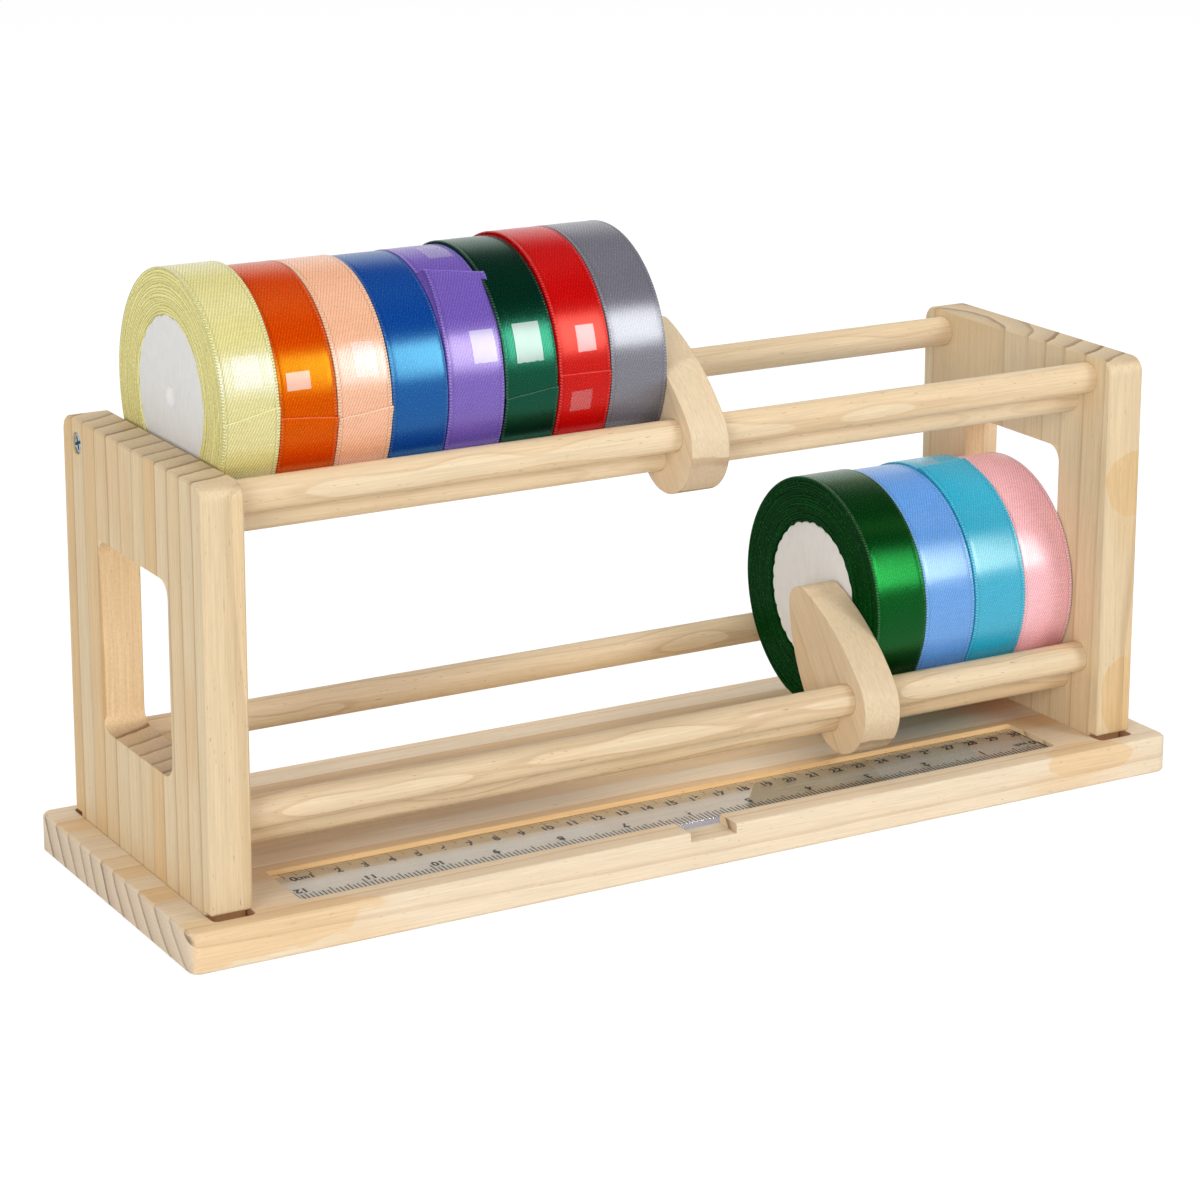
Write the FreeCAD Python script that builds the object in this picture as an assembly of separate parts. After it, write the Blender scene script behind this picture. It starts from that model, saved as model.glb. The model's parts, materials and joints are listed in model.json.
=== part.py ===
import FreeCAD, Part
import math
import os

# Two-tier ribbon rack in pine: a base board with a let-in ruler, two end panels standing in routed
# housings, three dowels to a tier, loose ribbon rolls cradled on the dowels and a sliding divider
# on each tier.  Millimetres, X along the rack, -Y at the front, Z up, origin under the middle of
# the base board.

# ---- base board
BASE_LENGTH = 395.0
BASE_DEPTH = 132.0
BASE_THICKNESS = 14.0
BASE_CORNER_RADIUS = 4.0
BASE_EDGE_CHAMFER = 0.8

# ---- end panels and the housings they stand in
PANEL_THICKNESS = 15.0
PANEL_DEPTH = 116.0
PANEL_TOP_HEIGHT = 157.7
PANEL_END_INSET = 11.1
PANEL_FRONT_INSET = 9.4
PANEL_TOP_CORNER_RADIUS = 5.5
PANEL_EDGE_CHAMFER = 0.6
TONGUE_SETBACK = 5.0
SHOULDER_CORNER_RADIUS = 1.0
SHOULDER_CLEARANCE = 0.8
HOUSING_DEPTH = 5.0
HOUSING_OVERRUN = 2.4
HOUSING_CORNER_RADIUS = 2.0
HOUSING_SIDE_CLEARANCE = 0.1

# ---- window cut through each end panel, used as a handle
WINDOW_WIDTH = 59.0
WINDOW_HEIGHT = 67.3
WINDOW_SILL_HEIGHT = 52.5
WINDOW_CORNER_RADIUS = 6.0

# ---- dowels
DOWEL_DIAMETER = 11.2
SOCKET_DEPTH = 8.0
SOCKET_END_CLEARANCE = 0.3
SOCKET_RADIAL_CLEARANCE = 0.05
FRONT_DOWEL_INSET = 13.3
MIDDLE_DOWEL_INSET = 23.8
BACK_DOWEL_INSET = 12.2
MIDDLE_DOWEL_DROP = 9.1
UPPER_DOWEL_TOP_MARGIN = 8.2
LOWER_DOWEL_HEIGHT = 28.7

# ---- seat for the head of the screw that draws each end panel onto the upper back dowel
SCREW_SEAT_DIAMETER = 7.6
SCREW_SEAT_DEPTH = 1.2

# ---- ruler and the recess it lies in
RULER_LENGTH = 305.0
RULER_WIDTH = 27.7
RULER_THICKNESS = 2.2
RULER_BEVEL_WIDTH = 4.5
RULER_BEVEL_EDGE = 1.0
RULER_CORNER_RADIUS = 1.2
RECESS_DEPTH = 3.4
RECESS_FRONT_WALL = 11.2
RECESS_CORNER_RADIUS = 1.2
RECESS_END_CLEARANCE = 1.0
RECESS_SIDE_CLEARANCE = 0.5
RECESS_FLOOR_CLEARANCE = 0.1
NOTCH_WIDTH = 18.5
NOTCH_OFFSET = -1.8

# ---- ribbon rolls: ribbon wound on a many-sided foam disc
CORE_DIAMETER = 54.8
CORE_SIDES = 18
CORE_FACE_RECESS = 0.6
CORE_CLEARANCE = 0.05
RIBBON_STEP = 0.3
ROLL_CLEARANCE = 0.3
ROLL_GAP = 0.4
UPPER_ROW_END_GAP = 1.1
LOWER_ROW_END_GAP = 0.4

# name, ribbon width, wound radius, angle of the cut end above the front of the roll
UPPER_ROLLS = (
    ("pale_yellow", 20.0, 43.1, 2.0),
    ("orange", 20.3, 42.4, -0.5),
    ("peach", 19.5, 42.4, -1.5),
    ("royal_blue", 20.3, 42.2, -95.0),
    ("lavender", 20.6, 42.3, 61.0),
    ("dark_green", 19.8, 42.7, -3.0),
    ("red", 19.6, 43.2, 2.0),
    ("silver", 21.7, 43.2, -120.0),
)
LOWER_ROLLS = (
    ("bottle_green", 21.0, 44.1, -110.0),
    ("cornflower", 21.5, 43.8, -100.0),
    ("turquoise", 22.1, 44.1, 84.0),
    ("pink", 22.0, 43.4, -125.0),
)

# ---- sliding dividers, an egg-shaped plate threaded on the front and middle dowels
DIVIDER_THICKNESS = 15.0
DIVIDER_LOW_RADIUS = 17.3
DIVIDER_HIGH_RADIUS = 7.1
DIVIDER_FRONT_SIDE_RADIUS = 90.0
DIVIDER_BACK_SIDE_RADIUS = 66.0
DIVIDER_LOW_CENTRE_BACK = 5.3
DIVIDER_LOW_CENTRE_DROP = 4.2
DIVIDER_HIGH_CENTRE_BACK = 31.3
DIVIDER_HIGH_CENTRE_RISE = 26.9
DIVIDER_BORE_CLEARANCE = 0.08
DIVIDER_GAP = 0.3

# ---- places that follow from the sizes above
BASE_FRONT_Y = -BASE_DEPTH / 2
PANEL_FRONT_Y = BASE_FRONT_Y + PANEL_FRONT_INSET
PANEL_BACK_Y = PANEL_FRONT_Y + PANEL_DEPTH
PANEL_MIDDLE_Y = PANEL_FRONT_Y + PANEL_DEPTH / 2
PANEL_OUTER_X = BASE_LENGTH / 2 - PANEL_END_INSET
PANEL_INNER_X = PANEL_OUTER_X - PANEL_THICKNESS
PANEL_FOOT_Z = BASE_THICKNESS - HOUSING_DEPTH
SHOULDER_Z = BASE_THICKNESS + SHOULDER_CLEARANCE

DOWEL_RADIUS = DOWEL_DIAMETER / 2
FRONT_DOWEL_Y = PANEL_FRONT_Y + FRONT_DOWEL_INSET
MIDDLE_DOWEL_Y = PANEL_FRONT_Y + MIDDLE_DOWEL_INSET
BACK_DOWEL_Y = PANEL_BACK_Y - BACK_DOWEL_INSET
UPPER_TIER_Z = PANEL_TOP_HEIGHT - UPPER_DOWEL_TOP_MARGIN
LOWER_TIER_Z = BASE_THICKNESS + LOWER_DOWEL_HEIGHT

RULER_FRONT_Y = BASE_FRONT_Y + RECESS_FRONT_WALL + RECESS_SIDE_CLEARANCE
RULER_BACK_Y = RULER_FRONT_Y + RULER_WIDTH
RULER_BOTTOM_Z = BASE_THICKNESS - RECESS_DEPTH + RECESS_FLOOR_CLEARANCE

X_AXIS = FreeCAD.Vector(1, 0, 0)
Z_AXIS = FreeCAD.Vector(0, 0, 1)


# ---------------------------------------------------------------- geometry helpers
def point(x, y, z):
    return FreeCAD.Vector(x, y, z)


def block(x_range, y_range, z_range):
    size = [high - low for low, high in (x_range, y_range, z_range)]
    return Part.makeBox(size[0], size[1], size[2], point(x_range[0], y_range[0], z_range[0]))


def edges_along(shape, axis):
    """Straight edges parallel to an axis."""
    straight = [edge for edge in shape.Edges if edge.Curve.TypeId == "Part::GeomLine"]
    return [edge for edge in straight if math.isclose(abs(edge.Curve.Direction.dot(axis)), 1.0)]


def edges_off_axis(shape, axis):
    """Edges that lie in the two end faces of a plate extruded along an axis."""
    along = {edge.hashCode() for edge in edges_along(shape, axis)}
    return [edge for edge in shape.Edges if edge.hashCode() not in along]


def rounded_block(x_range, y_range, z_range, corner_radius):
    """A block whose four upright corners are rounded."""
    body = block(x_range, y_range, z_range)
    return body.makeFillet(corner_radius, edges_along(body, Z_AXIS))


def rod(start, axis, radius, length):
    return Part.makeCylinder(radius, length, start, axis)


def many_sided_disc(x, centre, radius, sides, length):
    """Prism along +X from x whose corners lie on a circle about the (y, z) centre."""
    corners = []
    for index in range(sides + 1):
        a = 2 * math.pi * (index % sides) / sides
        corners.append(point(x, centre[0] + radius * math.cos(a), centre[1] + radius * math.sin(a)))
    return Part.Face(Part.makePolygon(corners)).extrude(X_AXIS * length)


def arc_about(x, centre, radius, start_degrees, end_degrees):
    """An arc in the plane at x, with angles counted from +Y towards +Z."""
    points = []
    for angle in (start_degrees, (start_degrees + end_degrees) / 2, end_degrees):
        a = math.radians(angle)
        points.append(point(x, centre[0] + radius * math.cos(a), centre[1] + radius * math.sin(a)))
    return Part.Arc(points[0], points[1], points[2]).toShape()


def meeting_centre(first, first_reach, second, second_reach, side):
    """Where circles about two (y, z) points meet; side 1 is left of the line from first to second."""
    gap_y = second[0] - first[0]
    gap_z = second[1] - first[1]
    gap = math.hypot(gap_y, gap_z)
    along = (first_reach ** 2 - second_reach ** 2 + gap ** 2) / (2 * gap)
    across = side * math.sqrt(first_reach ** 2 - along ** 2)
    y = first[0] + (along * gap_y - across * gap_z) / gap
    z = first[1] + (along * gap_z + across * gap_y) / gap
    return (y, z)


def direction_degrees(start, end):
    return math.degrees(math.atan2(end[1] - start[1], end[0] - start[0]))


# ---------------------------------------------------------------- base board
def housing(side):
    """Stopped housing for one end panel, with the round corners of the router bit."""
    inner = side * (PANEL_INNER_X - HOUSING_SIDE_CLEARANCE)
    outer = side * (PANEL_OUTER_X + HOUSING_SIDE_CLEARANCE)
    x_range = (min(inner, outer), max(inner, outer))
    y_range = (PANEL_FRONT_Y - HOUSING_OVERRUN, PANEL_BACK_Y + HOUSING_OVERRUN)
    return rounded_block(x_range, y_range, (PANEL_FOOT_Z, BASE_THICKNESS + 1), HOUSING_CORNER_RADIUS)


def ruler_recess():
    half = RULER_LENGTH / 2 + RECESS_END_CLEARANCE
    y_range = (RULER_FRONT_Y - RECESS_SIDE_CLEARANCE, RULER_BACK_Y + RECESS_SIDE_CLEARANCE)
    floor = BASE_THICKNESS - RECESS_DEPTH
    return rounded_block((-half, half), y_range, (floor, BASE_THICKNESS + 1), RECESS_CORNER_RADIUS)


def finger_notch():
    """Lets a fingertip under the ruler's front edge; as deep as the recess."""
    x_range = (NOTCH_OFFSET - NOTCH_WIDTH / 2, NOTCH_OFFSET + NOTCH_WIDTH / 2)
    y_range = (BASE_FRONT_Y - 1, RULER_FRONT_Y + 1)
    return block(x_range, y_range, (BASE_THICKNESS - RECESS_DEPTH, BASE_THICKNESS + 1))


def make_base_board():
    half = BASE_LENGTH / 2
    board = rounded_block(
        (-half, half), (BASE_FRONT_Y, -BASE_FRONT_Y), (0, BASE_THICKNESS), BASE_CORNER_RADIUS
    )
    board = board.makeChamfer(BASE_EDGE_CHAMFER, edges_off_axis(board, Z_AXIS))
    return board.cut([housing(-1), housing(1), ruler_recess(), finger_notch()])


# ---------------------------------------------------------------- end panels
def panel_blank(side):
    """Board on end with rounded corners and eased edges, pierced by the window.

    Its foot is a full-thickness tongue for the housing, shouldered at the front and back.
    """
    x = -PANEL_OUTER_X if side < 0 else PANEL_INNER_X
    x_range = (x, x + PANEL_THICKNESS)
    body = block(x_range, (PANEL_FRONT_Y, PANEL_BACK_Y), (SHOULDER_Z, PANEL_TOP_HEIGHT))
    middle_z = (SHOULDER_Z + PANEL_TOP_HEIGHT) / 2
    top = [edge for edge in edges_along(body, X_AXIS) if edge.BoundBox.ZMin > middle_z]
    body = body.makeFillet(PANEL_TOP_CORNER_RADIUS, top)
    foot = [edge for edge in edges_along(body, X_AXIS) if edge.BoundBox.ZMax < SHOULDER_Z + 1]
    body = body.makeFillet(SHOULDER_CORNER_RADIUS, foot)
    tongue_y_range = (PANEL_FRONT_Y + TONGUE_SETBACK, PANEL_BACK_Y - TONGUE_SETBACK)
    body = body.fuse(block(x_range, tongue_y_range, (PANEL_FOOT_Z, SHOULDER_Z))).removeSplitter()
    body = body.makeChamfer(PANEL_EDGE_CHAMFER, edges_off_axis(body, X_AXIS))
    half = WINDOW_WIDTH / 2
    window = block(
        (x - 1, x + PANEL_THICKNESS + 1),
        (PANEL_MIDDLE_Y - half, PANEL_MIDDLE_Y + half),
        (WINDOW_SILL_HEIGHT, WINDOW_SILL_HEIGHT + WINDOW_HEIGHT),
    )
    return body.cut(window.makeFillet(WINDOW_CORNER_RADIUS, edges_along(window, X_AXIS)))


def make_end_panel(side):
    """Panel bored with a blind socket for each dowel and counterbored for its screw."""
    screw_face = point(side * PANEL_OUTER_X, BACK_DOWEL_Y, UPPER_TIER_Z)
    cuts = [rod(screw_face, X_AXIS * -side, SCREW_SEAT_DIAMETER / 2, SCREW_SEAT_DEPTH)]
    for y, z in dowel_axes().values():
        mouth = point(side * PANEL_INNER_X, y, z)
        cuts.append(rod(mouth, X_AXIS * side, DOWEL_RADIUS + SOCKET_RADIAL_CLEARANCE, SOCKET_DEPTH))
    return panel_blank(side).cut(cuts)


# ---------------------------------------------------------------- dowels
def dowel_axes():
    """Name and (y, z) of each dowel."""
    axes = {}
    for tier, z in (("upper", UPPER_TIER_Z), ("lower", LOWER_TIER_Z)):
        axes[tier + "_front_dowel"] = (FRONT_DOWEL_Y, z)
        axes[tier + "_middle_dowel"] = (MIDDLE_DOWEL_Y, z - MIDDLE_DOWEL_DROP)
        axes[tier + "_back_dowel"] = (BACK_DOWEL_Y, z)
    return axes


def make_dowel(y, z):
    half = PANEL_INNER_X + SOCKET_DEPTH - SOCKET_END_CLEARANCE
    return rod(point(-half, y, z), X_AXIS, DOWEL_RADIUS, 2 * half)


# ---------------------------------------------------------------- ruler
def make_ruler():
    """Clear rule, thinned towards its back edge so that the marks lie close to the work."""
    top = RULER_BOTTOM_Z + RULER_THICKNESS
    outline = [
        (RULER_FRONT_Y, RULER_BOTTOM_Z),
        (RULER_BACK_Y, RULER_BOTTOM_Z),
        (RULER_BACK_Y, RULER_BOTTOM_Z + RULER_BEVEL_EDGE),
        (RULER_BACK_Y - RULER_BEVEL_WIDTH, top),
        (RULER_FRONT_Y, top),
        (RULER_FRONT_Y, RULER_BOTTOM_Z),
    ]
    start = -RULER_LENGTH / 2
    section = Part.Face(Part.makePolygon([point(start, y, z) for y, z in outline]))
    rule = section.extrude(X_AXIS * RULER_LENGTH)
    front = [edge for edge in edges_along(rule, Z_AXIS) if edge.BoundBox.YMax < RULER_FRONT_Y + 1]
    return rule.makeFillet(RULER_CORNER_RADIUS, front)


# ---------------------------------------------------------------- ribbon rolls
def cradle_axis(roll_radius, tier_z):
    """Axis of a roll lying on the back dowel and on the front or middle one, whichever is met first."""
    reach = roll_radius + DOWEL_RADIUS + ROLL_CLEARANCE
    back = (BACK_DOWEL_Y, tier_z)
    supports = ((FRONT_DOWEL_Y, tier_z), (MIDDLE_DOWEL_Y, tier_z - MIDDLE_DOWEL_DROP))
    rests = [meeting_centre(support, reach, back, reach, 1) for support in supports]
    return max(rests, key=lambda rest: rest[1])


def ribbon_outline(x, axis, radius, end_angle):
    """One turn of ribbon as four quarter arcs that shrink by the step at the ribbon's cut end."""
    shrink = RIBBON_STEP / 4
    start = 180 - end_angle
    centre = axis
    edges = []
    for quarter in range(4):
        turn = start - 90 * quarter
        edges.append(arc_about(x, centre, radius - shrink * quarter, turn, turn - 90))
        a = math.radians(turn - 90)
        centre = (centre[0] + shrink * math.cos(a), centre[1] + shrink * math.sin(a))
    edges.append(Part.LineSegment(edges[-1].Vertexes[-1].Point, edges[0].Vertexes[0].Point).toShape())
    return Part.Wire(Part.__sortEdges__(edges))


def make_ribbon(x, width, radius, axis, end_angle):
    outside = ribbon_outline(x, axis, radius, end_angle)
    wound = Part.Face(outside).extrude(X_AXIS * width)
    return wound.cut(many_sided_disc(x - 1, axis, CORE_DIAMETER / 2 + CORE_CLEARANCE, CORE_SIDES, width + 2))


def make_core(x, width, axis):
    length = width - 2 * CORE_FACE_RECESS
    return many_sided_disc(x + CORE_FACE_RECESS, axis, CORE_DIAMETER / 2, CORE_SIDES, length)


def roll_places():
    """Name, left face, width, radius, axis and end angle of every roll."""
    places = []
    x = -PANEL_INNER_X + UPPER_ROW_END_GAP
    for name, width, radius, end_angle in UPPER_ROLLS:
        places.append((name, x, width, radius, cradle_axis(radius, UPPER_TIER_Z), end_angle))
        x += width + ROLL_GAP
    x = PANEL_INNER_X - LOWER_ROW_END_GAP + ROLL_GAP
    for name, width, radius, end_angle in reversed(LOWER_ROLLS):
        x -= width + ROLL_GAP
        places.append((name, x, width, radius, cradle_axis(radius, LOWER_TIER_Z), end_angle))
    return places


# ---------------------------------------------------------------- dividers
def upper_divider_x():
    taken = sum(width + ROLL_GAP for _, width, _, _ in UPPER_ROLLS) - ROLL_GAP
    return -PANEL_INNER_X + UPPER_ROW_END_GAP + taken + DIVIDER_GAP


def lower_divider_x():
    taken = sum(width + ROLL_GAP for _, width, _, _ in LOWER_ROLLS) - ROLL_GAP
    return PANEL_INNER_X - LOWER_ROW_END_GAP - taken - DIVIDER_GAP - DIVIDER_THICKNESS


def egg_wire(x, low, high):
    """Outline of two end circles bridged by long bulging arcs, tangent all round."""
    low_radius = DIVIDER_LOW_RADIUS
    high_radius = DIVIDER_HIGH_RADIUS
    sides = ((DIVIDER_FRONT_SIDE_RADIUS, -1), (DIVIDER_BACK_SIDE_RADIUS, 1))
    centres = []
    for bulge, side in sides:
        centres.append(meeting_centre(low, bulge - low_radius, high, bulge - high_radius, side))
    front_low = direction_degrees(centres[0], low)
    front_high = direction_degrees(centres[0], high)
    back_low = direction_degrees(centres[1], low) + 360
    back_high = direction_degrees(centres[1], high) + 360
    edges = [
        arc_about(x, centres[0], DIVIDER_FRONT_SIDE_RADIUS, front_low, front_high),
        arc_about(x, high, high_radius, front_high, back_high - 360),
        arc_about(x, centres[1], DIVIDER_BACK_SIDE_RADIUS, back_high, back_low),
        arc_about(x, low, low_radius, back_low - 360, front_low - 360),
    ]
    return Part.Wire(Part.__sortEdges__(edges))


def make_divider(x, tier_z):
    low = (FRONT_DOWEL_Y + DIVIDER_LOW_CENTRE_BACK, tier_z - DIVIDER_LOW_CENTRE_DROP)
    high = (FRONT_DOWEL_Y + DIVIDER_HIGH_CENTRE_BACK, tier_z + DIVIDER_HIGH_CENTRE_RISE)
    plate = Part.Face(egg_wire(x, low, high)).extrude(X_AXIS * DIVIDER_THICKNESS)
    bore_radius = DOWEL_RADIUS + DIVIDER_BORE_CLEARANCE
    bores = []
    for y, z in ((FRONT_DOWEL_Y, tier_z), (MIDDLE_DOWEL_Y, tier_z - MIDDLE_DOWEL_DROP)):
        bores.append(rod(point(x - 1, y, z), X_AXIS, bore_radius, DIVIDER_THICKNESS + 2))
    return plate.cut(bores)


# ---------------------------------------------------------------- the whole rack
def all_nodes():
    nodes = {
        "base_board": make_base_board(),
        "left_end_panel": make_end_panel(-1),
        "right_end_panel": make_end_panel(1),
        "ruler": make_ruler(),
        "upper_divider": make_divider(upper_divider_x(), UPPER_TIER_Z),
        "lower_divider": make_divider(lower_divider_x(), LOWER_TIER_Z),
    }
    for name, (y, z) in dowel_axes().items():
        nodes[name] = make_dowel(y, z)
    for name, x, width, radius, axis, end_angle in roll_places():
        nodes["ribbon_" + name] = make_ribbon(x, width, radius, axis, end_angle)
        nodes["core_" + name] = make_core(x, width, axis)
    return nodes


def main():
    os.makedirs("parts", exist_ok=True)
    for name, shape in all_nodes().items():
        if not shape.isValid():
            raise ValueError(name + " is not a valid solid")
        shape.exportStep("parts/" + name + ".step")
        print(name, len(shape.Solids), round(shape.Volume, 1))


if __name__ == "__main__":
    main()
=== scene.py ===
"""Finishes for a two-tier pine ribbon rack: its timber, satin rolls, clear ruler, screws and stage."""

import json
import math

import bmesh
import bpy
from bpy.props import FloatProperty, FloatVectorProperty, PointerProperty
from mathutils import Euler, Matrix, Vector, noise


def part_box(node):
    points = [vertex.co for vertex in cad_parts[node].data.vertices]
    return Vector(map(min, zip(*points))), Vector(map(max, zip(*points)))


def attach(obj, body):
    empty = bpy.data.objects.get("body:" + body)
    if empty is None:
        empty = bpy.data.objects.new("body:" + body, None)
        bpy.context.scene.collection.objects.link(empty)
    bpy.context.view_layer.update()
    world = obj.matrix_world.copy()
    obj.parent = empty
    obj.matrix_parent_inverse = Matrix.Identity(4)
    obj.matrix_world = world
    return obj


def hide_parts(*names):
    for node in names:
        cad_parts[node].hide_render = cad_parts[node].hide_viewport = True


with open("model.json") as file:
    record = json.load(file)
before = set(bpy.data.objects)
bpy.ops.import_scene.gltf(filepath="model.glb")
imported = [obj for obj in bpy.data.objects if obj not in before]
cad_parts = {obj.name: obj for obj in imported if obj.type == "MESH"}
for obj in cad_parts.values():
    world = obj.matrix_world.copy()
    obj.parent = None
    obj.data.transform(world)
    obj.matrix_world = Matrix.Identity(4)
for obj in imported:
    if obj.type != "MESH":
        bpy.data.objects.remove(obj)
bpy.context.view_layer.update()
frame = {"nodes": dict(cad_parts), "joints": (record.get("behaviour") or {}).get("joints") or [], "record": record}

bl_info = {
    "name": "Pine Ribbon Rack",
    "version": (1, 0, 0),
    "blender": (4, 5, 0),
    "location": "View3D > Sidebar > Ribbon Rack",
    "description": "Finishes a pine ribbon rack with its satin rolls, ruler, screws and stage",
    "category": "Object",
}

MM = 0.001
JOINTS = {joint["name"]: joint for joint in frame["joints"]}
# where most of a noise's and of a wave's values lie
NOISE_SPAN = (0.3, 0.7)
WAVE_SPAN = (-0.8, 0.8)


def srgb(red, green, blue):
    """Linear colour from display values of 0 to 255."""
    linear = []
    for value in (red, green, blue):
        share = value / 255
        linear.append(share / 12.92 if share <= 0.04045 else ((share + 0.055) / 1.055) ** 2.4)
    return tuple(linear)


def colour_property(name, description, default):
    return FloatVectorProperty(
        name=name, description=description, subtype="COLOR", size=3, min=0, max=1, default=default
    )


def length_property(name, description, default):
    return FloatProperty(
        name=name, description=description, default=default, min=0, precision=5, unit="LENGTH"
    )


def power_property(name, description, default):
    return FloatProperty(name=name, description=description, default=default, unit="POWER")


# ---------------------------------------------------------------- sizes and colours
class PineSettings(bpy.types.PropertyGroup):
    base_board: colour_property("Base board", "Pale wood of the base", srgb(244, 225, 196))
    end_panel: colour_property("End panels", "Pale wood of the end panels", srgb(231, 208, 169))
    dowel: colour_property("Dowels", "Pale wood of the dowels", srgb(235, 212, 176))
    divider: colour_property("Dividers", "Pale wood of the dividers", srgb(229, 206, 171))
    fibre_depth: length_property("Fibre depth", "Relief of the sanded fibres", 0.00006)
    eased_edge: length_property("Eased edge", "Sanded rounding of sharp edges", 0.0006)


class RibbonSettings(bpy.types.PropertyGroup):
    thickness: length_property("Thickness", "Step at a ribbon's cut end", 0.00015)
    selvedge: length_property("Selvedge", "Width of the woven edge cord", 0.0008)
    wander: length_property("Wander", "How far single turns stand in from the side", 0.0003)
    twill: length_property("Twill", "Distance between the slanted lines of the weave", 0.00060)
    ribs: length_property("Ribs", "Distance between the faint lines across the slanted ones", 0.00098)
    weave_depth: length_property("Weave depth", "Relief of the weave", 0.000011)


class SatinColours(bpy.types.PropertyGroup):
    pale_yellow: colour_property("Pale yellow", "First roll of the upper row", srgb(226, 216, 142))
    orange: colour_property("Orange", "Second roll of the upper row", srgb(208, 60, 0))
    peach: colour_property("Peach", "Third roll of the upper row", srgb(244, 182, 144))
    royal_blue: colour_property("Royal blue", "Fourth roll of the upper row", srgb(5, 62, 146))
    lavender: colour_property("Lavender", "Fifth roll of the upper row", srgb(112, 86, 178))
    dark_green: colour_property("Dark green", "Sixth roll of the upper row", srgb(0, 32, 19))
    red: colour_property("Red", "Seventh roll of the upper row", srgb(196, 0, 4))
    silver: colour_property("Silver", "Last roll of the upper row", srgb(112, 110, 120))
    bottle_green: colour_property("Bottle green", "First roll of the lower row", srgb(1, 44, 9))
    cornflower: colour_property("Cornflower", "Second roll of the lower row", srgb(98, 158, 232))
    turquoise: colour_property("Turquoise", "Third roll of the lower row", srgb(38, 174, 210))
    pink: colour_property("Pink", "Last roll of the lower row", srgb(255, 190, 199))


class SatinGloss(bpy.types.PropertyGroup):
    pale_yellow: colour_property("Pale yellow", "Sheen of the first roll", srgb(180, 205, 255))
    orange: colour_property("Orange", "Sheen of the second roll", srgb(220, 206, 12))
    peach: colour_property("Peach", "Sheen of the third roll", srgb(210, 228, 240))
    royal_blue: colour_property("Royal blue", "Sheen of the fourth roll", srgb(130, 235, 255))
    lavender: colour_property("Lavender", "Sheen of the fifth roll", srgb(226, 210, 240))
    dark_green: colour_property("Dark green", "Sheen of the sixth roll", srgb(84, 228, 178))
    red: colour_property("Red", "Sheen of the seventh roll", srgb(255, 122, 104))
    silver: colour_property("Silver", "Sheen of the last roll", srgb(245, 250, 255))
    bottle_green: colour_property("Bottle green", "Sheen of the first lower roll", srgb(38, 225, 95))
    cornflower: colour_property("Cornflower", "Sheen of the second lower roll", srgb(222, 245, 225))
    turquoise: colour_property("Turquoise", "Sheen of the third lower roll", srgb(226, 241, 222))
    pink: colour_property("Pink", "Sheen of the last lower roll", srgb(255, 255, 255))


class CoreSettings(bpy.types.PropertyGroup):
    foam: colour_property("Foam", "Colour of the foam discs", srgb(238, 238, 236))
    lobe_depth: length_property("Lobe depth", "How far the scallops stand out", 0.0009)
    dimple_radius: length_property("Dimple radius", "Half the width of the centre dimple", 0.0038)
    dimple_depth: length_property("Dimple depth", "Depth of the centre dimple", 0.0012)


class RulerSettings(bpy.types.PropertyGroup):
    plastic: colour_property("Plastic", "Tint of the clear plastic", srgb(254, 254, 254))
    ink: colour_property("Ink", "Printed marks and numbers", srgb(34, 30, 30))
    line: length_property("Line", "Width of a printed mark", 0.00042)
    digit: length_property("Digit", "Height of the printed numbers", 0.0034)


class StageSettings(bpy.types.PropertyGroup):
    lens: FloatProperty(
        name="Lens", description="Focal length for a 36 mm sensor", default=104.7, unit="CAMERA"
    )
    key_power: power_property("Key light", "Light from the front right", 15)
    sheen_power: power_property("Sheen light", "Gleam beside the key light", 15)
    fill_power: power_property("Fill light", "Light from the front left", 18)
    top_power: power_property("Top light", "Soft light from above", 16)
    room_light: FloatProperty(
        name="Room light", description="Strength of the even light all round", default=0.30
    )
    floor: colour_property("Floor", "Colour of the floor", srgb(244, 244, 244))


GROUPS = {
    "rack_pine": PineSettings,
    "rack_ribbon": RibbonSettings,
    "rack_satin": SatinColours,
    "rack_gloss": SatinGloss,
    "rack_core": CoreSettings,
    "rack_ruler": RulerSettings,
    "rack_stage": StageSettings,
}


# ---------------------------------------------------------------- shader helpers
def add(tree, kind, inputs=None, **settings):
    """Add a shader node; inputs are sockets to link or plain values, settings its own options."""
    made = tree.nodes.new("ShaderNode" + kind)
    for key, value in settings.items():
        setattr(made, key, value)
    for key, value in (inputs or {}).items():
        if isinstance(value, bpy.types.NodeSocket):
            tree.links.new(value, made.inputs[key])
        else:
            made.inputs[key].default_value = value
    return made


def calc(tree, operation, *values):
    return add(tree, "Math", dict(enumerate(values)), operation=operation).outputs[0]


def product(tree, first, *others):
    for value in others:
        first = calc(tree, "MULTIPLY", first, value)
    return first


def vector_calc(tree, operation, *values):
    output = "Value" if operation in ("LENGTH", "DOT_PRODUCT") else "Vector"
    return add(tree, "VectorMath", dict(enumerate(values)), operation=operation).outputs[output]


def spread(tree, value, low, high, to_low=0.0, to_high=1.0):
    """Move a value from one range to another with soft ends."""
    inputs = {0: value, 1: low, 2: high, 3: to_low, 4: to_high}
    return add(tree, "MapRange", inputs, interpolation_type="SMOOTHSTEP").outputs[0]


def blend(tree, factor, first, second, mode="MIX"):
    """Mix two colours."""
    inputs = {0: factor}
    for socket, colour in ((6, first), (7, second)):
        inputs[socket] = colour if isinstance(colour, bpy.types.NodeSocket) else (*colour, 1)
    return add(tree, "Mix", inputs, data_type="RGBA", blend_type=mode).outputs[2]


def shaded(tree, colour, shade):
    """A colour made darker or lighter by a value."""
    return blend(tree, 1.0, colour, grey(tree, shade), "MULTIPLY")


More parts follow.
